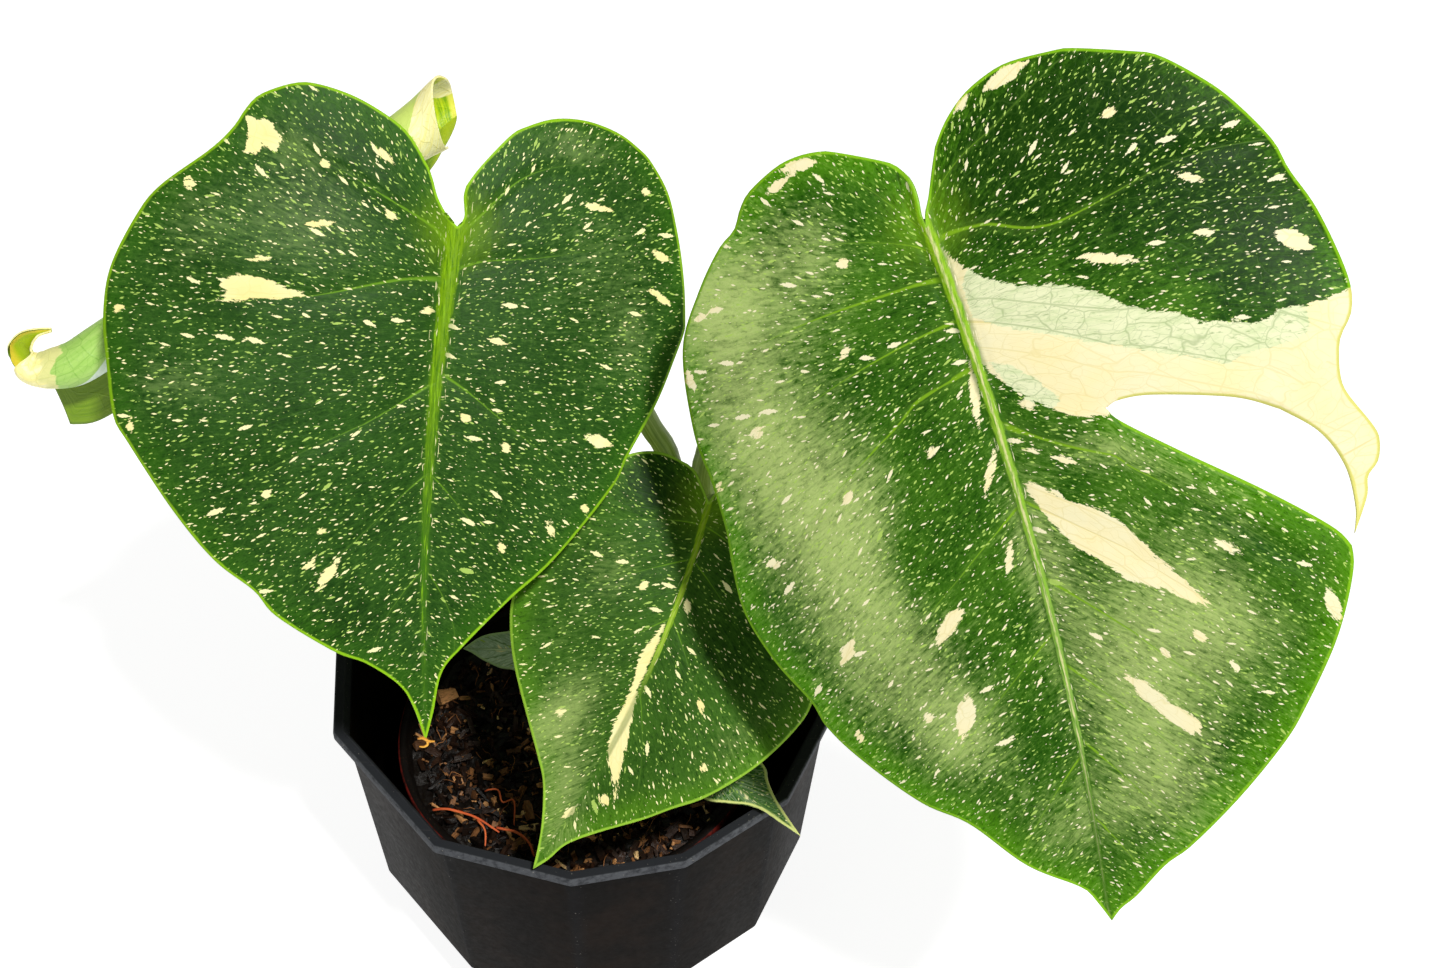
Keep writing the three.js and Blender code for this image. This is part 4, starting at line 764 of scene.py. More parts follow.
def measures_of(name, patch, t, s, plan):
    """Five triples of numbers for every corner of a patch."""
    leaf = LEAVES[name]
    length = frame_of(leaf)[1]
    u, v = plan[..., 0], plan[..., 1]
    rib = np.abs(u - rib_offset(leaf, length, v))
    margin = np.min([distance_to(plan, line) for line in free_margin(name)], axis=0)
    count, gap, power = vein_count(plan, t, s, VEINS[name][patch["name"]])
    steps = np.gradient(plan, axis=0 if patch["name"] == "tail" else 1)
    grain = steps / (np.linalg.norm(steps, axis=-1, keepdims=True) + 1e-9)
    run = np.concatenate([np.zeros((plan.shape[0], 1)),
                          np.cumsum(np.linalg.norm(np.diff(plan, axis=1), axis=-1), axis=1)], axis=1)
    middle = plan[:, plan.shape[1] // 2]
    cross = np.concatenate([[0], np.cumsum(np.linalg.norm(np.diff(middle, axis=0), axis=-1))])
    cross = np.repeat(cross[:, None], plan.shape[1], 1) + STREAK_SHIFT[patch["name"]]
    wide, narrow, taper = RIB_WIDTH[name]
    share = np.clip(v / length, 0, 1)
    rib_share = rib / (narrow + (wide - narrow) * (1 - share) ** taper)
    cream, mint = np.full(u.shape, MARK_REACH), np.full(u.shape, MARK_REACH)
    if patch["name"] == "tail":
        cream = -cream
    for outline in CREAM_OUTLINES.get(name, []):
        cream = np.minimum(cream, distance_to(plan, outline, True))
    for mark in CREAM_LOZENGES.get(name, []):
        cream = np.minimum(cream, lozenge_distance(plan, *mark))
    if patch["name"] != "tail":
        for outline in MINT_OUTLINES.get(name, []):
            mint = np.minimum(mint, distance_to(plan, outline, True))
    return {
        # The third number of plan is the amount of painted sheen and shade.
        "plan": np.stack([u, v, painted_light_at(name, plan)], -1),
        "flow": np.stack([run, cross, margin], -1),
        "veins": np.stack([count, gap, power], -1),
        "grain": np.stack([grain[..., 0], grain[..., 1], rib_share], -1),
        "marks": np.stack([np.clip(cream, -MARK_REACH, MARK_REACH), np.clip(mint, -MARK_REACH, MARK_REACH), share], -1),
    }


print("pale areas are felt from", MARK_REACH, "mm away")

# %% Relief
FAR_OFF = 99.0


def from_seam(patch, plan):
    """How far each point is from the row that its patch shares with the patch below or above it."""
    down = np.concatenate([np.zeros((1, plan.shape[1])),
                           np.cumsum(np.linalg.norm(np.diff(plan, axis=0), axis=-1), axis=0)])
    if patch["name"] == "upper":
        return np.minimum(down[-1:] - down, distance_to(plan, plan[-40:, -1]))
    return down if patch["name"] in ("lower", "tail") else np.full(down.shape, FAR_OFF)


GROOVE_DEPTH, SWELL_HEIGHT, CHANNEL_DEPTH = 0.75, 0.55, 0.9


def relief_of(name, measures, seam):
    """Grooves above the veins, low swellings between them and the channel over the midrib."""
    count, gap, power = (measures["veins"][..., axis] for axis in range(3))
    from_vein = np.abs(count - np.round(count)) * gap
    run, margin = measures["flow"][..., 0], measures["flow"][..., 2]
    fade = np.clip(run / 6, 0, 1) * np.clip(margin / 12, 0, 1) * np.clip(seam / 6, 0, 1)
    size = {"left": 1, "right": 1, "middle": 0.7}.get(name, 0.25)
    groove = -GROOVE_DEPTH * power * np.exp(-(from_vein / 1.6) ** 2) * fade
    swell = SWELL_HEIGHT * (1 - np.exp(-(from_vein / 5) ** 2)) * power * fade
    rib_share, share = measures["grain"][..., 2], measures["marks"][..., 2]
    channel = -CHANNEL_DEPTH * np.exp(-(rib_share / 1.1) ** 2) * (1 - share)
    if name == "right":
        channel = (1.0 * np.exp(-(rib_share / 0.8) ** 2) - 0.35 * np.exp(-((rib_share - 1.9) / 0.7) ** 2)) * (1 - share)
    return size * (groove + swell + channel)


print("a main side vein lies", GROOVE_DEPTH, "mm deep")

# %% Grid to blade
BLADE_WALL = 0.8
WELD = 0.004


def add_patch(bm, name, patch, finer):
    """Lays one grid of quads on the blade and writes the measures on its corners."""
    t, s, plan = plan_of(patch, finer)
    measures = measures_of(name, patch, t, s, plan)
    leaf = LEAVES[name]
    base, length, along, across, out = frame_of(leaf)
    relief = relief_of(name, measures, from_seam(patch, plan)) + BLADE_WALL / 2
    height = height_of(leaf, length, plan[..., 0], plan[..., 1]) + relief
    place = base + plan[..., :1] * across + plan[..., 1:] * along + height[..., None] * out
    rows, columns = len(t) - 1, len(s) - 1
    made = bmesh.ops.create_grid(bm, x_segments=columns, y_segments=rows, size=0.5)["verts"]
    layers = {key: bm.loops.layers.float_vector[key] for key in measures}
    spot = {}
    for vert in made:
        spot[vert] = (round((vert.co.y + 0.5) * rows), round((vert.co.x + 0.5) * columns))
        vert.co = place[spot[vert]]
    faces = {face for vert in made for face in vert.link_faces}
    for face in faces:
        for loop in face.loops:
            for key, layer in layers.items():
                loop[layer] = measures[key][spot[loop.vert]]
    if patch["name"] != "left":
        bmesh.ops.reverse_faces(bm, faces=list(faces))
    return len(made)


print("a blade stands", BLADE_WALL / 2, "mm above its middle sheet")

# %% Join the patches
def build_blade(name, finer):
    """All patches of one blade, merged where they meet."""
    bm = bmesh.new()
    for key in ("plan", "flow", "veins", "grain", "marks"):
        bm.loops.layers.float_vector.new(key)
    points = sum(add_patch(bm, name, patch, finer) for patch in patches_of(name))
    bmesh.ops.remove_doubles(bm, verts=bm.verts, dist=WELD)
    print(name, "blade:", points, "points laid,", len(bm.verts), "after merging")
    return bm

# %% [markdown]
# A leaf is thin, but its midrib stands out below. A Solidify modifier thickens each point by its own weight, and
# gives the underside and the rim their own finishes.

# %% Thickness
def thicken_blade(piece, name):
    """Adds the underside. Weights keep the blade thin, and make it thicker along the midrib."""
    leaf = LEAVES[name]
    most = BLADE_WALL + leaf["rib"]
    base, length, along, across, _ = frame_of(leaf)
    points = np.array([vert.co for vert in piece.data.vertices]) / MM - base
    u, v = points @ across, points @ along
    from_rib = np.abs(u - rib_offset(leaf, length, v))
    keel = leaf["rib"] * np.clip(1 - v / length, 0, 1) * np.exp(-(from_rib / (0.4 + leaf["rib"] * 0.75)) ** 2)
    keel = keel * np.clip((v + 1) / 9, 0, 1)
    group = piece.vertex_groups.new(name="thickness")
    for number, thickness in enumerate(BLADE_WALL + keel):
        group.add([number], float(thickness / most), "REPLACE")
    wall = piece.modifiers.new("thickness", "SOLIDIFY")
    wall.thickness = most * MM
    wall.offset = -1
    wall.vertex_group = "thickness"
    wall.material_offset = 1
    wall.material_offset_rim = 2


print("blade wall", BLADE_WALL, "mm")

# %% [markdown]
# ## The finish of a leaf's face
# From far the leaf is green, but up close it is brushed with fine streaks along the veins, netted with tiny veins
# and sprinkled with cream and lime flecks that lie along the veins too. The finish builds this up in layers, as a
# painter would: ground with its painted sheen and shade, veins, flecks, cream areas, midrib and the thin lime margin.

# %% Ground, painted sheen and shade, and streaks
def leaf_ground(finish, tones):
    """The green itself, with painted sheen and painted shade laid in. Returns its colour and the height of its streaks.
    """
    u, v, painted_light = finish.field("plan")
    run, cross, margin = finish.field("flow")
    flat = finish.vector(u, v)
    along_veins = finish.vector(finish.times(run, 0.22), cross)
    cloud = finish.noise(flat, 0.035, 4, 0.6)
    streak = finish.noise(along_veins, 0.85, 4, 0.65, 0.6)
    mottle = finish.noise(flat, 0.55, 4, 0.7, 0.4)
    brush = finish.noise(finish.vector(finish.times(run, 0.35), cross), 2.1, 3, 0.7)
    green = finish.blend(finish.soft(cloud, 0.32, 0.68), tones["deep"], tones["mid"])
    vivid = finish.soft(finish.plus(margin, finish.times(cloud, 14.0)), 8.0, 19.0, 1.0, 0.0)
    green = finish.blend(finish.times(vivid, tones["vivid_share"]), green, tones["vivid"])
    lit = painted_light
    for layer, reach in ((cloud, 0.35), (streak, 1.2), (mottle, 0.45)):
        lit = finish.plus(lit, finish.sway(layer, reach))
    # Stirred by noise, the field blends to a painted sheen above nought and to painted shade below it.
    green = finish.blend(finish.soft(lit, 0.05, 1.05, 0.0, 0.9), green, tones["painted_light"])
    green = finish.blend(finish.soft(lit, -0.1, -0.8, 0.0, 0.85), green, tones["mottle_and_shade"])
    texture = finish.plus(finish.times(streak, 0.3), finish.times(mottle, 0.35))
    texture = finish.plus(texture, finish.times(brush, 0.35))
    # Low streak texture is the leaf's own darker mottle, in the same deep green as the painted shade.
    dark = finish.times(finish.soft(texture, 0.50, 0.36, 0.0, 0.8), finish.soft(painted_light, 0.1, 0.7, 1.0, 0.45))
    green = finish.blend(dark, green, tones["mottle_and_shade"])
    bright = finish.times(finish.soft(texture, 0.50, 0.66, 0.0, 0.6), finish.soft(painted_light, -0.7, 0.0, 0.3, 1.0))
    green = finish.blend(bright, green, tones["light"])
    return green, texture


print("first layer:", leaf_ground.__doc__)

# %% Side veins and the fine net
def leaf_veins(finish, tones, ground):
    """Lime side veins that fade outwards, and the net between them."""
    u, v, _ = finish.field("plan")
    run, cross, _ = finish.field("flow")
    count, gap, power = finish.field("veins")
    from_vein = finish.times(finish.sum("ABSOLUTE", finish.minus(count, finish.sum("ROUND", count))), gap)
    reach = finish.soft(run, 4.0, tones["vein_reach"], 1.0, 0.1)
    strength = finish.times(power, reach)
    strength = finish.times(strength, finish.soft(run, 1.0, 14.0, 2.0, 1.0))
    line = finish.soft(from_vein, finish.times(strength, 0.2), finish.times(strength, 0.75), 1.0, 0.0)
    line = finish.times(line, finish.soft(strength, 0.05, 0.6, 0.1, 0.85))
    glow = finish.soft(from_vein, 0.0, finish.times(strength, 4.5), 0.45, 0.0)
    minor_count = finish.times(count, 4.0)
    minor = finish.sum("ABSOLUTE", finish.minus(minor_count, finish.sum("ROUND", minor_count)))
    minor = finish.soft(finish.times(minor, finish.times(gap, 0.25)), 0.05, 0.4, 1.0, 0.0)
    wander = finish.noise(finish.vector(u, v), 0.09, 2)
    place = finish.vector(finish.plus(finish.times(run, 0.55), finish.times(wander, 9.0)),
                          finish.plus(cross, finish.times(wander, 6.0)))
    net = finish.most(finish.net(place, 0.16, 0.05), finish.times(finish.net(place, 0.42, 0.07), 0.6))
    colour = finish.blend(finish.times(finish.most(minor, net), tones["net_share"]), ground, tones["net"])
    colour = finish.blend(finish.times(glow, tones["glow_share"]), colour, tones["light"])
    colour = finish.blend(line, colour, tones["vein"])
    return colour, line, finish.most(minor, net)


print("second layer:", leaf_veins.__doc__)

# %% Flecks
# cell, share of cells, length, width, shift, share of lime
FLECK_SIZES = [(1.6, 0.66, 0.9, 0.3, 11.0, 0.65), (3.7, 0.42, 1.8, 0.4, 37.0, 0.5), (9.0, 0.3, 3.2, 0.9, 71.0, 0.1)]


def fleck_layer(finish, cell, share, length, width, shift):
    """Scatters lozenges that lie along the veins. Returns where they are and a random number for each."""
    u, v, _ = finish.field("plan")
    ahead, aside, _ = finish.field("grain")
    place = finish.vector(finish.plus(u, shift), finish.plus(v, shift * 0.7))
    cells = finish.put("TexVoronoi", {"Vector": place, "Scale": 1 / cell}, voronoi_dimensions="2D")
    offset = finish.put("VectorMath", {0: place, 1: cells.outputs["Position"]}, operation="SUBTRACT").outputs[0]
    draw = finish.put("SeparateXYZ", {0: cells.outputs["Color"]}).outputs
    turn = finish.times(finish.minus(finish.sum("FRACT", finish.times(draw[2], 7.3)), 0.5), 0.8)
    grain = finish.put("VectorRotate", {"Vector": finish.vector(ahead, aside), "Angle": turn},
                       rotation_type="Z_AXIS").outputs[0]
    side = finish.put("VectorRotate", {"Vector": grain, "Angle": math.pi / 2}, rotation_type="Z_AXIS").outputs[0]
    reach = lambda way, size: finish.sum("POWER", finish.sum("DIVIDE", finish.sum("ABSOLUTE", finish.put(
        "VectorMath", {0: offset, 1: way}, operation="DOT_PRODUCT").outputs["Value"]), size), 1.3)
    size = finish.plus(finish.times(finish.sum("POWER", draw[0], 2.0), 0.75), 0.25)
    ragged = finish.times(finish.noise(place, 1.2 / width, 2, 0.6), 1.3)
    spread = finish.sum("POWER", finish.plus(reach(grain, length), reach(side, width)), 0.77)
    spread = finish.plus(finish.sum("DIVIDE", spread, size), finish.minus(ragged, 0.65))
    shown = finish.soft(spread, 0.92, 1.08, 1.0, 0.0)
    chosen = finish.sum("LESS_THAN", draw[1], share)
    return finish.times(shown, chosen), draw[2]


def leaf_flecks(finish, tones, colour):
    """Three sizes of fleck: dust, specks and chips of cream."""
    for cell, share, length, width, shift, lime in FLECK_SIZES:
        where, draw = fleck_layer(finish, cell, share * tones["fleck_share"], length, width, shift)
        tint = finish.blend(finish.soft(draw, lime - 0.02, lime + 0.02), tones["lime"], tones["cream"])
        colour = finish.blend(where, colour, tint)
    return colour


print("fleck lengths in mm:", [size[2] for size in FLECK_SIZES])

# %% Cream and mint areas
def leaf_cream(finish, tones, colour, line, net):
    """Ragged cream areas, mint half-tones, and their faint veins."""
    u, v, _ = finish.field("plan")
    cream, mint, _ = finish.field("marks")
    flat = finish.vector(u, v)
    run, cross, _ = finish.field("flow")
    steps = finish.vector(finish.times(run, 0.3), cross)
    ragged = finish.times(finish.minus(finish.noise(steps, 0.75, 4, 0.75), 0.5), 5.0)
    cream = finish.plus(cream, ragged)
    mint = finish.plus(mint, finish.times(ragged, 0.8))
    cloud = finish.noise(flat, 0.05, 3)
    pale = finish.blend(finish.soft(cloud, 0.3, 0.7), tones["cream"], tones["cream_deep"])
    faint = finish.most(finish.times(net, 0.3), finish.times(line, 0.6))
    pale = finish.blend(faint, pale, tones["cream_vein"])
    half = finish.blend(finish.soft(finish.noise(steps, 0.35, 4, 0.7), 0.4, 0.7), tones["mint"], tones["mint_deep"])
    dash = finish.soft(finish.noise(finish.vector(finish.times(run, 0.2), cross), 1.3, 3, 0.7), 0.56, 0.68)
    half = finish.blend(finish.times(finish.most(dash, finish.times(net, 0.7)), 0.65), half,
                        tones["mint_vein"])
    pale = finish.blend(finish.soft(mint, -0.15, 0.15, 1.0, 0.0), pale, half)
    where = finish.soft(cream, -0.12, 0.12, 1.0, 0.0)
    return finish.blend(where, colour, pale), where


print("fourth layer:", leaf_cream.__doc__)

# %% Midrib and margin
def leaf_rib(finish, tones, colour, cream):
    """The midrib, the painted shade in the grooves along its sides, and the thin line along the margin."""
    u, v, _ = finish.field("plan")
    _, _, rib = finish.field("grain")
    _, _, margin = finish.field("flow")
    _, _, share = finish.field("marks")
    worn = finish.noise(finish.vector(u, finish.times(v, 0.3)), 0.7, 4, 0.65)
    lengthways = finish.noise(finish.vector(finish.times(u, 1.6), finish.times(v, 0.12)), 1.0, 3, 0.65)
    rib = finish.plus(rib, finish.sway(worn, 1.1))
    # The darker green beside the midrib is painted shade in the grooves along it.
    flank = finish.times(finish.soft(rib, 0.8, 2.2, 1.0, 0.0), tones["flank_share"])
    colour = finish.blend(flank, colour, tones["flank"])
    stripe = finish.blend(finish.soft(share, 0.0, 0.75), tones["rib"], tones["rib_far"])
    stripe = finish.blend(finish.soft(rib, 0.0, 0.42, tones["rib_line"], 0.0), stripe, tones["cream_deep"])
    stripe = finish.blend(finish.soft(lengthways, 0.5, 0.36, 0.0, 0.7), stripe, tones["vivid"])
    stripe = finish.blend(finish.soft(lengthways, 0.52, 0.68, 0.0, 0.6), stripe, tones["edge"])
    solid = finish.soft(rib, 0.65, 1.15, 1.0, 0.0)
    dashes = finish.noise(finish.vector(finish.times(u, 1.3), finish.times(v, 0.13)), 1.4, 2, 0.5)
    beside = finish.times(finish.soft(rib, 0.55, 0.8), finish.soft(rib, 1.3, 1.8, 1.0, 0.0))
    dashes = finish.times(finish.times(beside, finish.soft(dashes, 0.63, 0.67)), tones["dash_share"])
    heart = finish.plus(finish.distance(u, v), finish.times(worn, 14.0))
    colour = finish.blend(finish.soft(heart, 9.0, 26.0, tones["heart_share"], 0.0), colour, tones["rib"])
    shown = finish.soft(share, tones["rib_end"] - 0.2, tones["rib_end"], 1.0, tones["rib_rest"])
    colour = finish.blend(finish.times(solid, shown), colour, stripe)
    colour = finish.blend(finish.times(dashes, shown), colour, tones["cream"])
    wavy = finish.plus(margin, finish.times(finish.noise(finish.vector(u, v), 0.12, 2), 0.7))
    edge = finish.blend(cream, tones["edge"], tones["cream_edge"])
    return finish.blend(finish.soft(wavy, 0.85, 1.5, tones["edge_share"], 0.0), colour, edge)


print("last layer:", leaf_rib.__doc__)

# %% The whole face
def leaf_face(name, tones, roughness=0.42, specular=0.05):
    finish = Finish(name, roughness, specular)
    ground, streak = leaf_ground(finish, tones)
    colour, line, net = leaf_veins(finish, tones, ground)
    colour = leaf_flecks(finish, tones, colour)
    colour, cream = leaf_cream(finish, tones, colour, line, net)
    colour = leaf_rib(finish, tones, colour, cream)
    finish.colour(colour)
    height = finish.minus(finish.times(streak, 0.5), finish.times(line, 0.6))
    height = finish.minus(height, finish.times(net, 0.25))
    finish.bump(height, 0.35, 0.0004)
    finish.roughen(finish.plus(finish.times(streak, 0.16), roughness - 0.08))
    print(name, "uses", len(finish.tree.nodes), "nodes")
    return finish

# %% [markdown]
# ## The tones of each leaf
# The left leaf is the oldest and darkest. The right one is fresh and mixes deep green, a painted silvery sheen and
# lime near its margin. The small middle leaf lies between them. The undersides are paler and duller, with the same
# pattern showing through.

# %% Tones
LEFT_TONES = {
    "deep": paint(33, 68, 18), "mid": paint(44, 82, 26), "mottle_and_shade": paint(18, 46, 11), "light": paint(80, 120, 42),
    "vivid": paint(50, 102, 12), "vivid_share": 0.45, "painted_light": paint(126, 152, 88),
    "vein": paint(104, 150, 34), "vein_reach": 62.0, "net": paint(80, 118, 48), "net_share": 0.12,
    "glow_share": 0.3, "lime": paint(160, 190, 92), "cream": paint(238, 232, 176), "cream_deep": paint(238, 224, 152),
    "cream_vein": paint(222, 212, 130), "mint": paint(205, 222, 170), "mint_deep": paint(180, 205, 145),
    "mint_vein": paint(140, 175, 110), "rib": paint(112, 152, 14), "rib_far": paint(62, 106, 26), "rib_line": 0.0,
    "flank": paint(60, 104, 26), "flank_share": 0.5, "edge": paint(142, 194, 30), "edge_share": 0.9,
    "cream_edge": paint(206, 204, 104), "fleck_share": 0.88, "rib_end": 0.9, "rib_rest": 0.2, "heart_share": 0.6,
    "dash_share": 0.9,
}
RIGHT_TONES = dict(
    LEFT_TONES, deep=paint(34, 78, 8), mid=paint(60, 106, 20), mottle_and_shade=paint(10, 42, 2), light=paint(116, 158, 60),
    vivid=paint(74, 134, 8), vivid_share=0.8, painted_light=paint(180, 199, 122), vein=paint(120, 164, 30), vein_reach=80.0,
    net=paint(96, 138, 56), rib=paint(134, 178, 26), rib_far=paint(128, 166, 74), rib_line=0.7, heart_share=0.25,
    flank=paint(46, 90, 10), flank_share=0.7, edge=paint(128, 184, 30), cream=paint(230, 224, 186),
    cream_deep=paint(234, 222, 172), cream_vein=paint(206, 190, 110), mint=paint(220, 224, 184),
    mint_deep=paint(200, 212, 164), mint_vein=paint(116, 144, 88), fleck_share=0.92)
MIDDLE_TONES = dict(
    LEFT_TONES, deep=paint(42, 78, 18), mid=paint(58, 98, 28), painted_light=paint(150, 172, 98), vivid=paint(84, 136, 24),
    vivid_share=0.6, rib=paint(136, 172, 24), rib_far=paint(150, 176, 70), vein_reach=40.0, rib_line=0.1,
    edge=paint(150, 196, 60), fleck_share=0.8, rib_end=0.55, rib_rest=0.0, heart_share=0.25)
SILVER_TONES = dict(
    LEFT_TONES, deep=paint(140, 168, 136), mid=paint(172, 196, 162), mottle_and_shade=paint(96, 126, 90),
    light=paint(212, 228, 200), painted_light=paint(220, 234, 210), vivid=paint(160, 186, 146), vein=paint(104, 134, 90),
    rib=paint(210, 226, 188), rib_far=paint(200, 218, 178), edge=paint(170, 196, 136), vein_reach=20.0, net_share=0.5,
    net=paint(120, 150, 106), fleck_share=0.4, glow_share=0.3)
YOUNG_TONES = dict(
    LEFT_TONES, deep=paint(40, 84, 30), mid=paint(60, 104, 46), light=paint(150, 180, 130), vein=paint(90, 130, 70),
    rib=paint(80, 124, 56), rib_far=paint(90, 130, 70), edge=paint(220, 228, 140), edge_share=1.0, vein_reach=20.0,
    net_share=0.4, net=paint(180, 200, 160), fleck_share=1.6)


def underside(tones):
    """The same leaf seen from below: paler, greyer and with softer contrast."""
    paler = {"deep": (0.5, (150, 180, 110)), "mid": (0.5, (160, 188, 118)), "mottle_and_shade": (0.5, (130, 164, 92)),
             "light": (0.4, (176, 200, 140)), "vivid": (0.5, (150, 186, 90)), "painted_light": (0.5, (176, 198, 140)),
             "net": (0.4, (120, 156, 86)), "lime": (0.4, (190, 210, 150)), "flank": (0.6, (160, 190, 110)),
             "rib": (0.6, (190, 210, 120)), "rib_far": (0.6, (190, 208, 130)), "vein": (0.4, (186, 206, 126))}
    back = dict(tones)
    for key, (share, colour) in paler.items():
        back[key] = tuple(a * (1 - share) + b * share for a, b in zip(tones[key], paint(*colour)))
    return back


def lime_rim(name, tones):
    finish = Finish(name, 0.45)
    u, v, _ = finish.field("plan")
    cream, _, _ = finish.field("marks")
    cloud = finish.soft(finish.noise(finish.vector(u, v), 0.2, 3), 0.35, 0.65)
    green = finish.blend(cloud, tones["edge"], tones["vein"])
    finish.colour(finish.blend(finish.soft(cream, -0.4, 0.4, 1.0, 0.0), green, tones["cream_edge"]))
    return finish


print("tones of one leaf:", ", ".join(LEFT_TONES))

# %% [markdown]
# ## The five open leaves
# All five come from the same rule and differ in plan, lie, veins and tones, as leaves of one plant do.

# %% Build the leaves
OPEN_LEAVES = [
    ("left", "leaf_left", "dressed_leaf_left", "leaf_dark_green", LEFT_TONES, (6, 10)),
    ("right", "leaf_right", "dressed_leaf_right", "leaf_fresh_green", RIGHT_TONES, (5, 10)),
    ("middle", "leaf_middle", "dressed_leaf_middle", "leaf_mid_green", MIDDLE_TONES, (5, 8)),
    ("youngBack", "leaf_young_back", "dressed_leaf_young_back", "leaf_silver", SILVER_TONES, (5, 6)),
    ("youngFront", "leaf_young_front", "dressed_leaf_young_front", "leaf_young_dark", YOUNG_TONES, (5, 6)),
]
for name, node, piece_name, slot, tones, finer in OPEN_LEAVES:
    face = leaf_face(slot + "_face", tones)
    back = leaf_face(slot + "_back", underside(tones), 0.6, 0.12)
    rim = lime_rim(slot + "_rim", tones)
    piece = place_piece(piece_name, build_blade(name, finer), [face, back, rim], [node])
    thicken_blade(piece, name)

# %% [markdown]
# ## The rolled leaf
# The newest leaf has just left its sheath and is still a horn of pale, thin blade. It is one sheet: a flap hangs at
# the back, then the sheet goes up and over, down the front and in again. The grid is bent round an axis that runs
# from the open mouth to the hooked tip.

# %% Horn measures
HORN_AXIS = [(-50.2, 86, 320.8), (-57, 81.3, 316.6), (-84, 63.2, 304.4), (-110.2, 45.8, 293.2), (-137, 27.4, 281.6),
             (-160.6, 10.9, 271.5), (-167.6, 6.9, 268.5), (-171.2, 5.7, 267.7), (-175, 5, 267.2), (-179, 4.4, 267),
             (-182.9, 4.2, 267.9), (-186, 4.7, 270.9), (-186.2, 6.1, 274.9), (-184, 7.7, 278), (-180, 8.9, 280.2),
             (-175, 9.6, 281)]
HORN_RADIUS = [12.3, 10.6, 9.1, 8.5, 8.3, 8.3, 8.1, 7.9, 7.4, 6.6, 5.8, 4.9, 4.2, 3, 1.3, 0.5]
HORN_START = [0, 0, 0, 0, 0, 0, 0, 0, 2, 8, 20, 50, 75, 75, 70, 70]
HORN_SWEEP = [275, 290, 310, 310, 310, 310, 310, 308, 302, 296, 290, 250, 150, 140, 130, 130]
HORN_FLAP = [8, 13, 19, 20, 21, 21.5, 20.5, 19.5, 5, 0.4, 0.4, 0.3, 0.3, 0.2, 0.2, 0.2]
HEM_LEAN = [8, 5, 0, 0, 0, 0, 2.5, 5.5, 4, 0, 0, 0, 0, 0, 0, 0]
HORN_SHARES = [0, 0.01, 0.02, 0.035, 0.05, 0.07, 0.1, 0.14, 0.2, 0.28, 0.36, 0.44, 0.52, 0.6, 0.67, 0.73, 0.77, 0.8,
               0.817, 0.83, 0.845, 0.86, 0.872, 0.884, 0.896, 0.91, 0.925, 0.94, 0.955, 0.97, 0.985, 1]
HORN_FRONT = Vector((0, -0.71, 0.71)).normalized()
HORN_HANG = Vector((0.03, -0.25, -0.97)).normalized()
MOUTH_TOP, MOUTH_BACK, LIP_DOWN, LIP_FORWARD = 7.5, 3, 4, 3
HORN_ROWS, HORN_COLUMNS, FLAP_COLUMNS = 155, 70, 20
print("the horn's axis has", len(HORN_AXIS), "knots")


# %% A smooth path in space
def smooth_path(points, shares):
    """Points, directions and knot numbers at these shares of the length of a smooth line in space."""
    knots = [Vector(point) for point in points]
    knots = [2 * knots[0] - knots[1]] + knots + [2 * knots[-1] - knots[-2]]
    dense, number = [], []
    for place in range(1, len(knots) - 2):
        p0, p1, p2, p3 = knots[place - 1:place + 3]
        d0, d1, d2 = ((b - a).length ** 0.5 for a, b in ((p0, p1), (p1, p2), (p2, p3)))
        m1 = ((p1 - p0) / d0 - (p2 - p0) / (d0 + d1) + (p2 - p1) / d1) * d1
        m2 = ((p2 - p1) / d1 - (p3 - p1) / (d1 + d2) + (p3 - p2) / d2) * d1
        for step in range(24):
            w = step / 24
            dense.append((2 * p1 - 2 * p2 + m1 + m2) * w ** 3 + (-3 * p1 + 3 * p2 - 2 * m1 - m2) * w ** 2 + m1 * w + p1)
            number.append(place - 1 + w)
    dense.append(knots[-2])
    number.append(len(points) - 1)
    dense = np.array(dense)
    length = np.concatenate([[0], np.cumsum(np.linalg.norm(np.diff(dense, axis=0), axis=1))])
    run = np.asarray(shares) * length[-1]
    at_run = lambda where: np.stack([np.interp(where, length, dense[:, axis]) for axis in range(3)], -1)
    even = at_run(run)
    ways = at_run(run + 0.5) - at_run(run - 0.5)
    ways /= np.linalg.norm(ways, axis=1, keepdims=True)
    return even, ways, np.interp(run, length, number), run


horn_shares = np.interp(np.linspace(0, len(HORN_SHARES) - 1, HORN_ROWS + 1), range(len(HORN_SHARES)), HORN_SHARES)
centres, directions, knot_numbers, horn_run = smooth_path(HORN_AXIS, horn_shares)
print("the horn is", round(horn_run[-1]), "mm long")

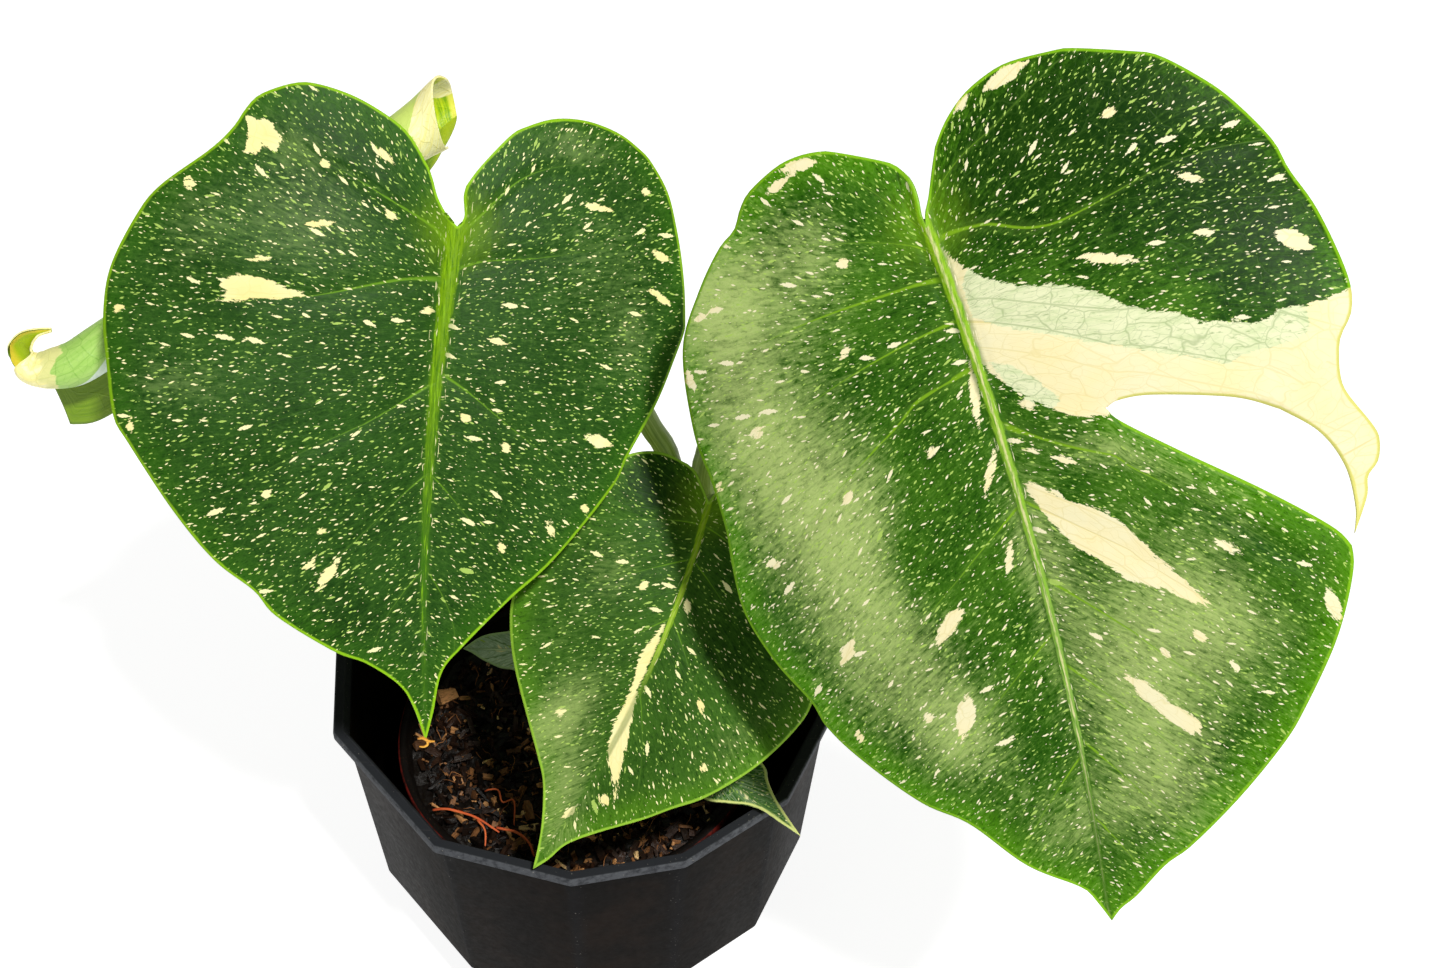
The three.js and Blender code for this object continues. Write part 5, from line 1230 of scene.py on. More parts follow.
# %% Bend the sheet
def horn_line(row, up_before):
    """One line of the horn's sheet, from the hem of the flap to the inner edge of the roll, and its upward way."""
    t = horn_shares[row]
    centre, axis = Vector(centres[row]), Vector(directions[row])
    radius, start, sweep, flap, hem_lean = (float(np.interp(knot_numbers[row], range(len(HORN_AXIS)), values))
                                            for values in (HORN_RADIUS, HORN_START, HORN_SWEEP, HORN_FLAP, HEM_LEAN))
    start, sweep = math.radians(start), math.radians(sweep)
    up_way = HORN_FRONT.cross(axis).normalized()
    if up_way.dot(up_before) < 0:
        up_way = -up_way
    towards = axis.cross(up_way).normalized()
    if towards.dot(HORN_FRONT) < 0:
        towards = -towards

    def around(angle, reach):
        fold = max(0, 1 - t / 0.05) ** 1.5 * math.exp(-((angle - 1.75) / 0.63) ** 2)
        lean = (1 - t) ** 12 * (MOUTH_BACK * math.cos(angle) - MOUTH_TOP * math.sin(angle))
        return (centre + towards * (math.cos(angle) * reach + LIP_FORWARD * fold)
                + up_way * (math.sin(angle) * reach - LIP_DOWN * fold) + axis * lean)

    hem = around(math.pi + start, radius)
    line = []
    for column in range(HORN_COLUMNS + 1):
        if column < FLAP_COLUMNS:
            down = 1 - column / FLAP_COLUMNS
            wave = 0.8 * math.sin(horn_run[row] * 0.16) * down * min(1, flap / 10)
            line.append(hem + HORN_HANG * flap * down + axis * hem_lean * down * down + towards * wave)
        else:
            turned = (column - FLAP_COLUMNS) / (HORN_COLUMNS - FLAP_COLUMNS) * sweep
            line.append(around(math.pi + start - turned, radius * (1 - max(0, turned - start - 3.456) * 0.16)))
    return line, up_way


print("lines of the sheet have", len(horn_line(0, -HORN_HANG)[0]), "points each")

# %% The grid of the horn
def build_horn():
    bm = bmesh.new()
    roll = bm.loops.layers.float_vector.new("roll")
    made = bmesh.ops.create_grid(bm, x_segments=HORN_COLUMNS, y_segments=HORN_ROWS, size=0.5)["verts"]
    lines, up_way = [], -HORN_HANG
    for row in range(HORN_ROWS + 1):
        line, up_way = horn_line(row, up_way)
        lines.append(line)
    spot = {}
    for vert in made:
        spot[vert] = (round((vert.co.y + 0.5) * HORN_ROWS), round((vert.co.x + 0.5) * HORN_COLUMNS))
        vert.co = lines[spot[vert][0]][spot[vert][1]]
    for face in bm.faces:
        for loop in face.loops:
            row, column = spot[loop.vert]
            radius = float(np.interp(knot_numbers[row], range(len(HORN_AXIS)), HORN_RADIUS))
            loop[roll] = (horn_run[row], (column - FLAP_COLUMNS) * (radius * 0.1 if column >= FLAP_COLUMNS else 1.1),
                          horn_run[row] / horn_run[-1])
    bmesh.ops.reverse_faces(bm, faces=bm.faces)
    return bm


print("the sheet of the horn has", HORN_ROWS, "by", HORN_COLUMNS, "faces")

# %% [markdown]
# The horn's colours change along it: cream at both ends, pale yellow-green and netted light green between, a
# bluish-white patch near the left leaf, and an olive flap whose veins run along the fold.

# %% Finish of the horn
def horn_skin(name, inner):
    finish = Finish(name, 0.45, 0.3)
    run, around, share = finish.field("roll")
    wander = finish.noise(finish.vector(finish.times(run, 0.3), around), 0.12, 3)
    shifted = finish.plus(run, finish.sway(wander, 22.0))
    cells = finish.vector(finish.times(run, 0.8), around)
    net = finish.most(finish.net(cells, 0.2, 0.06), finish.times(finish.net(cells, 0.5, 0.07), 0.6))
    lines = finish.noise(finish.vector(finish.times(run, 0.05), finish.times(around, 1.0)), 0.9, 3)
    green = finish.blend(finish.times(net, 0.55), paint(160, 204, 98), paint(112, 172, 52))
    green = finish.blend(finish.soft(lines, 0.35, 0.7, 0.0, 0.5), green, paint(190, 222, 128))
    green = finish.blend(finish.soft(run, 12.0, 30.0, 0.75, 0.0), green, paint(216, 232, 120))
    cream = finish.blend(finish.soft(lines, 0.3, 0.7), paint(255, 252, 200), paint(253, 243, 156))
    cream = finish.blend(finish.times(net, 0.35), cream, paint(222, 208, 90))
    pale = finish.blend(finish.times(net, 0.3), paint(226, 226, 150), paint(196, 206, 104))
    mouth = finish.soft(finish.minus(shifted, finish.soft(around, 20.0, 34.0, 2.0, 9.0)), 3.0, 3.8, 1.0, 0.0)
    skin = finish.blend(mouth, green, cream)
    skin = finish.blend(finish.soft(shifted, 155.5, 156.5), skin, pale)
    skin = finish.blend(finish.soft(finish.plus(shifted, finish.times(around, 0.3)), 168.0, 172.0), skin, cream)
    slanting = finish.plus(run, finish.times(finish.minus(32.0, around), 2.6))
    frost = finish.soft(finish.plus(slanting, finish.times(wander, 4.0)), 151.0, 152.5, 1.0, 0.0)
    skin = finish.blend(finish.times(frost, finish.soft(run, 136.0, 141.0, 0.0, 0.85)), skin, paint(232, 246, 236))
    flap = finish.blend(finish.soft(lines, 0.2, 0.8), paint(94, 130, 14), paint(126, 156, 36))
    flap = finish.blend(finish.soft(run, 4.0, 9.0, 0.8, 0.0), flap, paint(176, 196, 20))
    if inner:
        stripes = finish.noise(finish.vector(run, finish.times(around, 0.08)), 0.9, 3, 0.6)
        bright = finish.blend(finish.soft(stripes, 0.38, 0.6), paint(120, 168, 6), paint(192, 214, 20))
        bright = finish.blend(finish.soft(run, 1.2, 2.2, 1.0, 0.0), bright, paint(226, 226, 84))
        hook = finish.blend(finish.soft(around, 1.0, 5.0), paint(226, 206, 60), paint(164, 190, 12))
        bright = finish.blend(finish.soft(share, 0.86, 0.9), bright, hook)
        # The round cream patch at the top of the mouth's inside is partly the sheet's cream and partly painted light
        # shining through the thin sheet.
        top = finish.plus(finish.sum("POWER", finish.sum("DIVIDE", finish.minus(around, 14.0), 6.0), 2.0),
                         finish.sum("POWER", finish.sum("DIVIDE", run, 6.0), 2.0))
        bright = finish.blend(finish.soft(top, 0.9, 1.1, 1.0, 0.0), bright, cream)
        skin = finish.blend(finish.soft(around, -1.0, 0.0), flap, bright)
    else:
        skin = finish.blend(finish.soft(around, -2.0, -1.0, 1.0, 0.0), skin, flap)
    finish.colour(skin)
    finish.bump(finish.plus(lines, net), 0.3, 0.0004)
    return finish


print("the horn's finish needs two calls, for its outside and its inside")

# %% Place the horn
horn = place_piece("dressed_leaf_rolled", build_horn(),
                   [horn_skin("horn_outside", False), horn_skin("horn_inside", True)], ["leaf_rolled"])
horn_wall = horn.modifiers.new("thickness", "SOLIDIFY")
horn_wall.thickness = BLADE_WALL * MM
horn_wall.offset = 0
horn_wall.material_offset = 1
print("horn wall", round(horn_wall.thickness / MM, 2), "mm")

# %% [markdown]
# ## Stem and petioles
# A petiole is a tapering stalk with a channel on its inner side, a sheath round its foot and a slightly swollen
# joint under the blade, which turns the leaf to the light. Each one starts as a ring of edges that is extruded step
# by step along its path, and its section is pressed in on one side where the channel runs.

# %% Sweep a stalk
def add_stalk(bm, path, radius, steps, sides, channel=0.0, joint=0.0, bumps=0.0):
    """Extrudes a ring along a smooth path. The channel dents it, the joint swells it near its far end."""
    layer = bm.loops.layers.float_vector.get("stalk") or bm.loops.layers.float_vector.new("stalk")
    even, ways, _, run = smooth_path(path, np.linspace(0, 1, steps + 1))
    ring = bmesh.ops.create_circle(bm, segments=sides, radius=1)["verts"]
    edges = list({edge for vert in ring for edge in vert.link_edges})
    side_way = Vector(ways[0]).orthogonal().normalized()
    order = {vert: math.atan2(vert.co.y, vert.co.x) for vert in ring}
    spot = {}
    for step in range(steps + 1):
        way = Vector(ways[step])
        side_way = (side_way - way * side_way.dot(way)).normalized()
        other_way = way.cross(side_way)
        share = step / steps
        width = float(np.interp(share * (len(radius) - 1), range(len(radius)), radius))
        width *= 1 + joint * math.exp(-((share - 0.93) / 0.05) ** 2)
        for vert, turn in order.items():
            dent = 1 - channel * math.exp(-(turn / 0.55) ** 2) * (1 - share * 0.6)
            knot = 1 + bumps * noise.noise(Vector((run[step] * 0.25, math.cos(turn) * 1.3, math.sin(turn) * 1.3)))
            outward = side_way * math.cos(turn) + other_way * math.sin(turn)
            vert.co = Vector(even[step]) + outward * width * dent * knot
            spot[vert] = (run[step], turn * width, share)
        if step in (0, steps):
            cap = bmesh.ops.contextual_create(bm, geom=edges)["faces"]
            for loop in cap[0].loops:
                loop[layer] = spot[loop.vert]
        if step < steps:
            grown = bmesh.ops.extrude_edge_only(bm, edges=edges)["geom"]
            fresh = [thing for thing in grown if isinstance(thing, bmesh.types.BMVert)]
            fresh_edges = {edge for vert in fresh for edge in vert.link_edges}
            turns = {}
            for vert in fresh:
                partner = [edge.other_vert(vert) for edge in vert.link_edges if edge.other_vert(vert) in order]
                turns[vert] = order[partner[0]]
            edges = [edge for edge in fresh_edges if edge.verts[0] in turns and edge.verts[1] in turns]
            order = turns
    for face in bm.faces:
        if all(loop.vert in spot for loop in face.loops):
            for loop in face.loops:
                loop[layer] = spot[loop.vert]


print("every stalk is swept ring by ring")

# %% Stalk finish
def stalk_skin(name, ground, streaks, foot, roughness=0.45):
    finish = Finish(name, roughness, 0.35)
    run, around, share = finish.field("stalk")
    lines = finish.noise(finish.vector(finish.times(run, 0.03), around), 1.1, 4, 0.65)
    blotch = finish.noise(finish.vector(finish.times(run, 0.4), around), 0.16, 3)
    skin = finish.blend(finish.soft(lines, 0.35, 0.68), ground, streaks)
    skin = finish.blend(finish.soft(blotch, 0.5, 0.72, 0.0, 0.5), skin, foot)
    skin = finish.blend(finish.soft(share, 0.0, 0.22, 0.7, 0.0), skin, foot)
    finish.colour(skin)
    finish.bump(lines, 0.4, 0.0004)
    return finish


petiole_skin = stalk_skin("petiole_skin_streaked", paint(118, 146, 44), paint(166, 188, 92), paint(104, 118, 60))
stem_skin = stalk_skin("stem_skin_streaked", paint(92, 108, 48), paint(134, 140, 84), paint(110, 88, 58), 0.6)
print("stalk finishes:", petiole_skin.material.name, stem_skin.material.name)

# %% Petioles
PETIOLES = {
    "left": ([(17, 22, 116), (18, 22, 142), (26, 22, 168), (32.5, 23.5, 196), (30, 25, 219), (23.8, 24, 234),
              (18.2, 24, 248), (9, 28, 268), (-6, 34, 285), (-24, 34, 299)],
             [5.2, 4.9, 4.7, 4.5, 4.3, 4.2, 4.1, 4, 3.7, 3.4, 3.3]),
    "right": ([(35, 29, 118), (42, 30, 155), (45.5, 25, 190), (44, 21, 214), (49.5, 19, 240), (66, 16, 276),
               (84, 11, 312), (98, 3, 338)],
              [6.2, 5.8, 5.4, 5.2, 4.8, 4.2, 3.8, 3.6, 3.8]),
    "middle": ([(31, 15.5, 104), (37, 14, 140), (43, 14, 172), (47.5, 12, 198), (48, 6, 214)],
               [4.4, 3.8, 3.2, 2.8, 2.6, 2.6]),
    "rolled": ([(25, 30.5, 142.6), (19, 38, 163), (-2, 50, 194), (-26, 64, 222), (-48, 78, 246), (-61, 89, 268),
                (-67, 92, 288), (-68, 88, 300)],
               [5, 4.3, 3.7, 3.3, 3, 2.8, 2.7, 2.7, 2.8]),
    "youngBack": ([(10, 31, 78), (7, 29, 92), (1, 23, 103)], [1.9, 1.7, 1.4, 1.2]),
    "youngFront": ([(34, -16, 78), (34.5, -20, 96), (38, -31, 116)], [1.9, 1.7, 1.4, 1.2]),
}


def blade_foot(name):
    """Where a petiole meets its blade, just inside the notch and under the midrib."""
    if name == "rolled":
        return (-67.5, 81.5, 306)
    base, length, along, _, out = frame_of(LEAVES[name])
    below = LEAVES[name]["rib"] + PETIOLES[name][1][-1] * 0.85
    return tuple(base + 2.5 * along + (float(height_of(LEAVES[name], length, 0.0, 2.5)) - below) * out)


for name, (path, radius) in PETIOLES.items():
    stalk = bmesh.new()
    add_stalk(stalk, path + [blade_foot(name)], radius, len(path) * 9, 24, channel=0.16, joint=0.12, bumps=0.05)
    bmesh.ops.recalc_face_normals(stalk, faces=stalk.faces)
    node = "petiole_" + "".join("_" + letter.lower() if letter.isupper() else letter for letter in name)
    place_piece("dressed_" + node, stalk, [petiole_skin], [node])

# %% Stem and main roots
STEM = ([(22, 20, 44), (22, 22, 70), (23, 24, 95), (26, 27, 118), (25, 30, 142)], [5, 7.5, 8.5, 7.5, 5.5])
ROOTS = [
    ([(22, 20, 62), (6, 12, 56), (-14, 4, 44), (-24, -6, 26)], [3, 2.6, 2, 1.2]),
    ([(22, 22, 58), (34, 10, 48), (38, -8, 34), (30, -26, 22)], [3, 2.4, 1.9, 1.1]),
    ([(22, 22, 60), (26, 36, 50), (18, 44, 32), (6, 40, 18)], [2.8, 2.4, 1.8, 1.1]),
    ([(22, 20, 54), (14, 22, 40), (12, 14, 26), (16, 2, 14)], [2.8, 2.2, 1.7, 1]),
]
trunk = bmesh.new()
add_stalk(trunk, STEM[0], STEM[1], 48, 32, channel=0.05, bumps=0.16)
for path, radius in ROOTS:
    add_stalk(trunk, path, radius, 24, 12, bumps=0.2)
bmesh.ops.recalc_face_normals(trunk, faces=trunk.faces)
place_piece("dressed_stem_with_roots", trunk, [stem_skin], ["stem_with_roots"])

# %% [markdown]
# ## The cover pot
# The outer pot is a twelve-sided black plastic moulding: a flat lip, walls that lean in, and a crease where they
# turn in to a narrower foot. One ring of twelve vertices is extruded through its outside, over the lip and down
# its inside, so the wall is closed. Every corner keeps the size of its ring, so that the pale line along the lip's
# edges, partly wear and partly a painted highlight, can follow the twelve sides of the lip. Then the edges that
# catch the light are bevelled.

# %% Cover pot shape
POT_BEARINGS = [-156.5, -118.4, -88.7, -65, -38.2, -8, 22.2, 52.4, 82.5, 112.7, 142.9, 173.1]
POT_PROFILE = [(73.4, 0), (76.4, 8), (89.2, 30.3), (95.3, 126), (100, 126), (100, 130), (96, 130), (94, 126),
               (93.1, 122), (87, 30.3), (74.2, 8), (70.2, 3)]


def build_cover_pot():
    bm = bmesh.new()
    ring = bmesh.ops.create_circle(bm, segments=12, radius=1)["verts"]
    ring.sort(key=lambda vert: math.atan2(vert.co.y, vert.co.x))
    edges = list({edge for vert in ring for edge in vert.link_edges})
    radius, height = POT_PROFILE[0]
    for vert, bearing in zip(ring, POT_BEARINGS):
        vert.co = Vector((math.cos(math.radians(bearing)) * radius, math.sin(math.radians(bearing)) * radius, height))
    bmesh.ops.contextual_create(bm, geom=edges)
    for next_radius, next_height in POT_PROFILE[1:]:
        grown = bmesh.ops.extrude_edge_only(bm, edges=edges)["geom"]
        fresh = [thing for thing in grown if isinstance(thing, bmesh.types.BMVert)]
        edges = [thing for thing in grown if isinstance(thing, bmesh.types.BMEdge)]
        edges = [edge for edge in edges if all(vert in fresh for vert in edge.verts)]
        for vert in fresh:
            vert.co = Vector((vert.co.x * next_radius / radius, vert.co.y * next_radius / radius, next_height))
        radius, height = next_radius, next_height
    bmesh.ops.contextual_create(bm, geom=edges)
    bmesh.ops.recalc_face_normals(bm, faces=bm.faces)
    ring = bm.loops.layers.float_vector.new("ring")
    for face in bm.faces:
        for loop in face.loops:
            loop[ring] = (loop.vert.co.xy.length, loop.vert.co.z, 0)
    lip = [edge for edge in bm.edges if min(vert.co.z for vert in edge.verts) > 125.5]
    rest = [edge for edge in bm.edges if edge not in lip and edge.calc_face_angle(0) > 0.15]
    bmesh.ops.bevel(bm, geom=lip, offset=0.6, segments=2, profile=0.5, affect="EDGES", material=-1)
    rest = [edge for edge in rest if edge.is_valid]
    bmesh.ops.bevel(bm, geom=rest, offset=0.9, segments=2, profile=0.5, affect="EDGES", material=-1)
    return bm


print("the pot is extruded through", len(POT_PROFILE), "rings")

# %% Black plastic
def black_plastic(name):
    """Charcoal plastic with dust that lies in clouds, fine scratches, lip edges made paler by wear and a painted
    highlight, and a dark inside.
    """
    finish = Finish(name, 0.5, 0.02)
    place = finish.in_millimetres()
    x, y, z = finish.put("SeparateXYZ", {0: place}).outputs
    radius = finish.distance(x, y)
    dust = finish.noise(place, 0.035, 5, 0.65)
    grime = finish.noise(place, 0.4, 4, 0.7)
    runs = finish.noise(finish.stretch(place, (1.0, 1.0, 0.08)), 0.5, 4, 0.6)
    tilted = finish.stretch(place, (0.06, 1.6, 1.6), (0.5, 0.9, 0.3))
    scratch = finish.soft(finish.noise(tilted, 0.9, 2, 0.5), 0.69, 0.74)
    body = finish.blend(finish.soft(dust, 0.35, 0.7), paint(12, 12, 14), paint(21, 20, 20))
    body = finish.blend(finish.soft(grime, 0.5, 0.75, 0.0, 0.4), body, paint(33, 31, 29))
    body = finish.blend(finish.soft(runs, 0.55, 0.75, 0.0, 0.3), body, paint(36, 34, 31))
    body = finish.blend(finish.times(scratch, 0.35), body, paint(110, 106, 100))
    lip = finish.soft(z, 125.6, 126.6)
    body = finish.blend(finish.times(lip, 0.75), body, paint(44, 46, 50))
    across, _, _ = finish.field("ring")
    # The pale line along the lip's edges is partly wear and partly a painted highlight where the rounded edge catches
    # the light.
    corner = finish.times(lip, finish.soft(across, 99.1, 99.7))
    corner = finish.most(corner, finish.times(lip, finish.soft(across, 96.6, 96.2, 0.0, 0.15)))
    body = finish.blend(finish.times(corner, finish.soft(grime, 0.3, 0.6, 0.1, 0.6)), body, paint(96, 99, 104))
    fleck = finish.soft(finish.noise(place, 1.1, 2, 0.5), 0.71, 0.75)
    body = finish.blend(finish.times(fleck, 0.6), body, paint(150, 146, 138))
    inside = finish.times(finish.soft(radius, 94.6, 93.8), finish.soft(z, 126.0, 124.0))
    inside = finish.times(inside, finish.soft(finish.minus(radius, finish.times(z, 0.06)), 87.6, 86.6))
    body = finish.blend(inside, body, finish.blend(finish.soft(dust, 0.4, 0.7), paint(11, 9, 7), paint(24, 17, 12)))
    finish.colour(body)
    finish.roughen(finish.plus(finish.times(grime, 0.35), 0.32))
    finish.bump(finish.plus(grime, finish.times(scratch, 0.5)), 0.12, 0.0003)
    return finish


pot = place_piece("dressed_cover_pot", build_cover_pot(), [black_plastic("dusty_black_plastic")],
                  ["cover_pot"])
pot.data.set_sharp_from_angle(angle=math.radians(40))
pot.modifiers.new("even_faces", "WEIGHTED_NORMAL")
print("pot is", round(2 * POT_PROFILE[4][0]), "mm across the corners")

# %% [markdown]
# ## The nursery pot
# Inside stands a thin round pot with a rolled lip, red-brown under a film of soil. Its section is drawn once and
# spun round the pot's middle. Inward of the lip's outer edge it is painted near-black, as painted shade.

# %% Nursery pot
GROW_CENTRE = Vector((-3.5, -7, 0))
GROW_PROFILE = [(9, 3.3), (55, 3.3), (69.1, 90.8), (71.8, 90.8), (71.8, 93.4), (71.2, 94), (69.4, 94), (68.2, 93.2),
                (53.8, 4.5), (9, 4.5)]


def build_grow_pot():
    bm = bmesh.new()
    section = [bm.verts.new(GROW_CENTRE + Vector((radius, 0, height))) for radius, height in GROW_PROFILE]
    edges = [bm.edges.new((a, b)) for a, b in zip(section, section[1:] + section[:1])]
    bmesh.ops.spin(bm, geom=section + edges, cent=GROW_CENTRE, axis=(0, 0, 1), dvec=(0, 0, 0),
                   angle=2 * math.pi, steps=96, use_merge=True, use_duplicate=False)
    bmesh.ops.remove_doubles(bm, verts=bm.verts, dist=0.01)
    bmesh.ops.recalc_face_normals(bm, faces=bm.faces)
    return bm


def red_brown_plastic(name):
    finish = Finish(name, 0.55, 0.1)
    place = finish.in_millimetres()
    soil_film = finish.noise(place, 0.16, 5, 0.7)
    specks = finish.noise(place, 1.4, 2)
    middle = finish.put("VectorMath", {0: place, 1: tuple(GROW_CENTRE)}, operation="SUBTRACT").outputs[0]
    x, y, _ = finish.put("SeparateXYZ", {0: middle}).outputs
    radius = finish.distance(x, y)
    red = finish.blend(finish.soft(soil_film, 0.4, 0.62), paint(110, 30, 24), paint(40, 16, 12))
    # Inward of the lip's outer edge the red-brown plastic is painted near-black: painted shade.
    body = finish.blend(finish.soft(radius, 71.0, 71.4), paint(12, 8, 6), red)
    body = finish.blend(finish.soft(specks, 0.66, 0.72, 0.0, 0.7), body, paint(60, 36, 24))
    finish.colour(body)
    finish.roughen(finish.soft(soil_film, 0.3, 0.7, 0.4, 0.85))
    finish.bump(soil_film, 0.3, 0.0005)
    return finish


grow_pot = place_piece("dressed_grow_pot", build_grow_pot(),
                       [red_brown_plastic("red_brown_plastic")], ["grow_pot"])
grow_pot.data.set_sharp_from_angle(angle=math.radians(50))

# %% [markdown]
# ## The potting mix
# The mix is dark coir and bark in chips of a few millimetres. A lumpy bed is spun and roughened with noise, and
# many small chips are thrown on it by a seeded rule, so every run gives the same mix. Each chip is a cube whose
# corners are pulled about, and it carries its own tone and its own direction of fibre.

# %% The bed
SOIL_LEVEL = 85
SOIL_REACH = 67.0
BED_RINGS = 40


def soil_relief(x, y):
    return 2.6 * (0.5 * math.sin(x * 0.11 + 1) * math.cos(y * 0.13) + 0.3 * math.sin(x * 0.31 + y * 0.23)
                  + 0.2 * math.cos(x * 0.47 - y * 0.52))


def build_bed(bm, tone):
    drop = [(SOIL_REACH * step / BED_RINGS, SOIL_LEVEL) for step in range(BED_RINGS + 1)]
    drop += [(66.6, 78), (61, 42), (53, 5.2), (0, 5.2)]
    section = [bm.verts.new(GROW_CENTRE + Vector((radius, 0, height))) for radius, height in drop]
    edges = [bm.edges.new((a, b)) for a, b in zip(section, section[1:])]
    bmesh.ops.spin(bm, geom=section + edges, cent=GROW_CENTRE, axis=(0, 0, 1), dvec=(0, 0, 0),
                   angle=2 * math.pi, steps=110, use_merge=True, use_duplicate=False)
    bmesh.ops.remove_doubles(bm, verts=bm.verts, dist=0.01)
    bmesh.ops.recalc_face_normals(bm, faces=bm.faces)
    for vert in bm.verts:
        if vert.co.z > SOIL_LEVEL - 0.5:
            rough = noise.fractal(vert.co * 0.22, 0.8, 2.2, 4) * 1.6
            vert.co.z += soil_relief(vert.co.x, vert.co.y) + rough - 0.6
    for face in bm.faces:
        for loop in face.loops:
            loop[tone] = (0.2, 0.5, 0)


print("the mix fills the pot to", SOIL_LEVEL, "mm")

# %% The chips
CHIP_COUNT = 3400
BIG_CHIP = (-59, 10, SOIL_LEVEL + 5.5)


def add_chip(bm, layers, place, size, tilt, tone, draw):
    """One chip: a cube with pulled corners, turned and sunk into the bed. It carries its tone and its fibre."""
    corners = bmesh.ops.create_cube(bm, size=1)["verts"]
    for vert in corners:
        vert.co.x *= size[0] * draw.uniform(0.72, 1.12)
        vert.co.y *= size[1] * draw.uniform(0.45, 1.1)
        vert.co.z *= size[2] * draw.uniform(0.5, 1.15)
    offset = Vector((draw.uniform(0, 90), draw.uniform(0, 90), draw.uniform(0, 90)))
    faces = {face for vert in corners for face in vert.link_faces}
    for face in faces:
        for loop in face.loops:
            loop[layers[0]] = (tone, draw.random() * 0.2 + 0.4, 1)
            loop[layers[1]] = loop.vert.co + offset
    turn = Matrix.Rotation(tilt[2], 3, "Z") @ Matrix.Rotation(tilt[1], 3, "Y") @ Matrix.Rotation(tilt[0], 3, "X")
    for vert in corners:
        vert.co = turn @ vert.co + Vector(place)


print("a chip has 6 faces, and there are", CHIP_COUNT, "of them")

# %% Throw the chips
def build_soil():
    """The bed and its chips. The chips at the open front are paler, as painted light where the lamp falls on them."""
    draw = random.Random(23)
    bm = bmesh.new()
    layers = (bm.loops.layers.float_vector.new("tone"), bm.loops.layers.float_vector.new("fibre"))
    build_bed(bm, layers[0])
    for face in bm.faces:
        for loop in face.loops:
            loop[layers[1]] = loop.vert.co
    for _ in range(CHIP_COUNT):
        reach = (SOIL_REACH - 3) * math.sqrt(draw.random())
        turn = draw.uniform(0, 2 * math.pi)
        x, y = GROW_CENTRE.x + math.cos(turn) * reach, GROW_CENTRE.y + math.sin(turn) * reach
        big = draw.random() ** 2.6
        length = 1.8 + 7.6 * big
        size = (length, length * draw.uniform(0.2, 0.5), length * draw.uniform(0.1, 0.26) + 0.3)
        height = SOIL_LEVEL + soil_relief(x, y) + draw.uniform(-0.8, 2.6) - reach * 0.01
        tilt = (draw.gauss(0, 0.8), draw.gauss(0, 0.6), draw.uniform(0, 2 * math.pi))
        # Chips at the open front draw paler tones: painted light.
        tone = draw.random() ** (0.6 if y < -50 and x > -25 else 1.1)
        add_chip(bm, layers, (x, y, height), size, tilt, tone, draw)
    add_chip(bm, layers, BIG_CHIP, (9, 6, 4), (0.6, 0.4, 0.7), 0.94, draw)
    return bm


print("the mix is strewn inside a reach of", SOIL_REACH - 3, "mm")

# %% Bark and coir
def bark_mix(name):
    finish = Finish(name, 0.6, 0.22)
    tone, _, _ = finish.field("tone")
    carried = finish.put("Attribute", {}, attribute_name="fibre").outputs["Vector"]
    fibres = finish.noise(finish.stretch(carried, (0.18, 1.0, 1.0)), 1.8, 4, 0.7)
    clots = finish.noise(carried, 0.5, 4, 0.7)
    body = finish.blend(finish.soft(tone, 0.1, 0.8), paint(11, 7, 5), paint(50, 31, 20))
    for low, high, bark in ((0.77, 0.83, paint(132, 88, 52)), (0.92, 0.94, paint(196, 140, 88)),
                            (0.98, 0.985, paint(240, 200, 140))):
        body = finish.blend(finish.soft(tone, low, high), body, bark)
    body = finish.blend(finish.soft(fibres, 0.35, 0.55, 0.6, 0.0), body, paint(8, 5, 4))
    body = finish.blend(finish.soft(fibres, 0.62, 0.8, 0.0, 0.35), body, paint(120, 84, 54))
    body = finish.blend(finish.soft(clots, 0.54, 0.72, 0.0, 0.4), body, paint(9, 6, 5))
    finish.colour(body)
    finish.roughen(finish.soft(clots, 0.35, 0.7, 0.28, 0.7))
    finish.bump(finish.plus(fibres, clots), 0.5, 0.0006)
    return finish


mix = bark_mix("bark_and_coir")
place_piece("dressed_soil", build_soil(), [mix], ["soil"], smooth=False)

# %% [markdown]
# ## Feeder roots and fibres
# Thin orange feeder roots lie bare on the mix at the front, and a few coir hairs stick out of it. The left leaf
# ends in two curled, straw-coloured threads where its tip has dried. All are stalks too, only much thinner and
# less even.

# %% Feeder roots
ROOTLETS = [
    ([(-57, -45.6, 90.5), (-52.2, -45.7, 91.8), (-44.2, -47.9, 92.4), (-39, -50, 92.6), (-30.3, -54.9, 91)], 0.5),
    ([(-39.4, -49.8, 92), (-35.6, -55.3, 92.4), (-34.9, -61.2, 90.8)], 0.4),
    ([(-31.5, -53.5, 91.8), (-23.3, -55.9, 92.6), (-18, -60.5, 92.2), (-15.9, -65, 90.6)], 0.5),
    ([(-38, -36, 90.4), (-36.7, -36.3, 92), (-32.7, -36.7, 92.8), (-30.2, -42.2, 92.6), (-26.4, -41.1, 92.8),
      (-24.9, -51.6, 91)], 0.32),
]
rootlets = bmesh.new()
for path, radius in ROOTLETS:
    add_stalk(rootlets, path, [radius, radius * 1.1, radius, radius * 0.7], len(path) * 8, 10, bumps=0.35)
bmesh.ops.recalc_face_normals(rootlets, faces=rootlets.faces)
orange = stalk_skin("orange_root_skin", paint(196, 70, 30), paint(240, 130, 72), paint(140, 46, 22), 0.6)
place_piece("dressed_orange_rootlets", rootlets, [orange], ["orange_rootlets"])

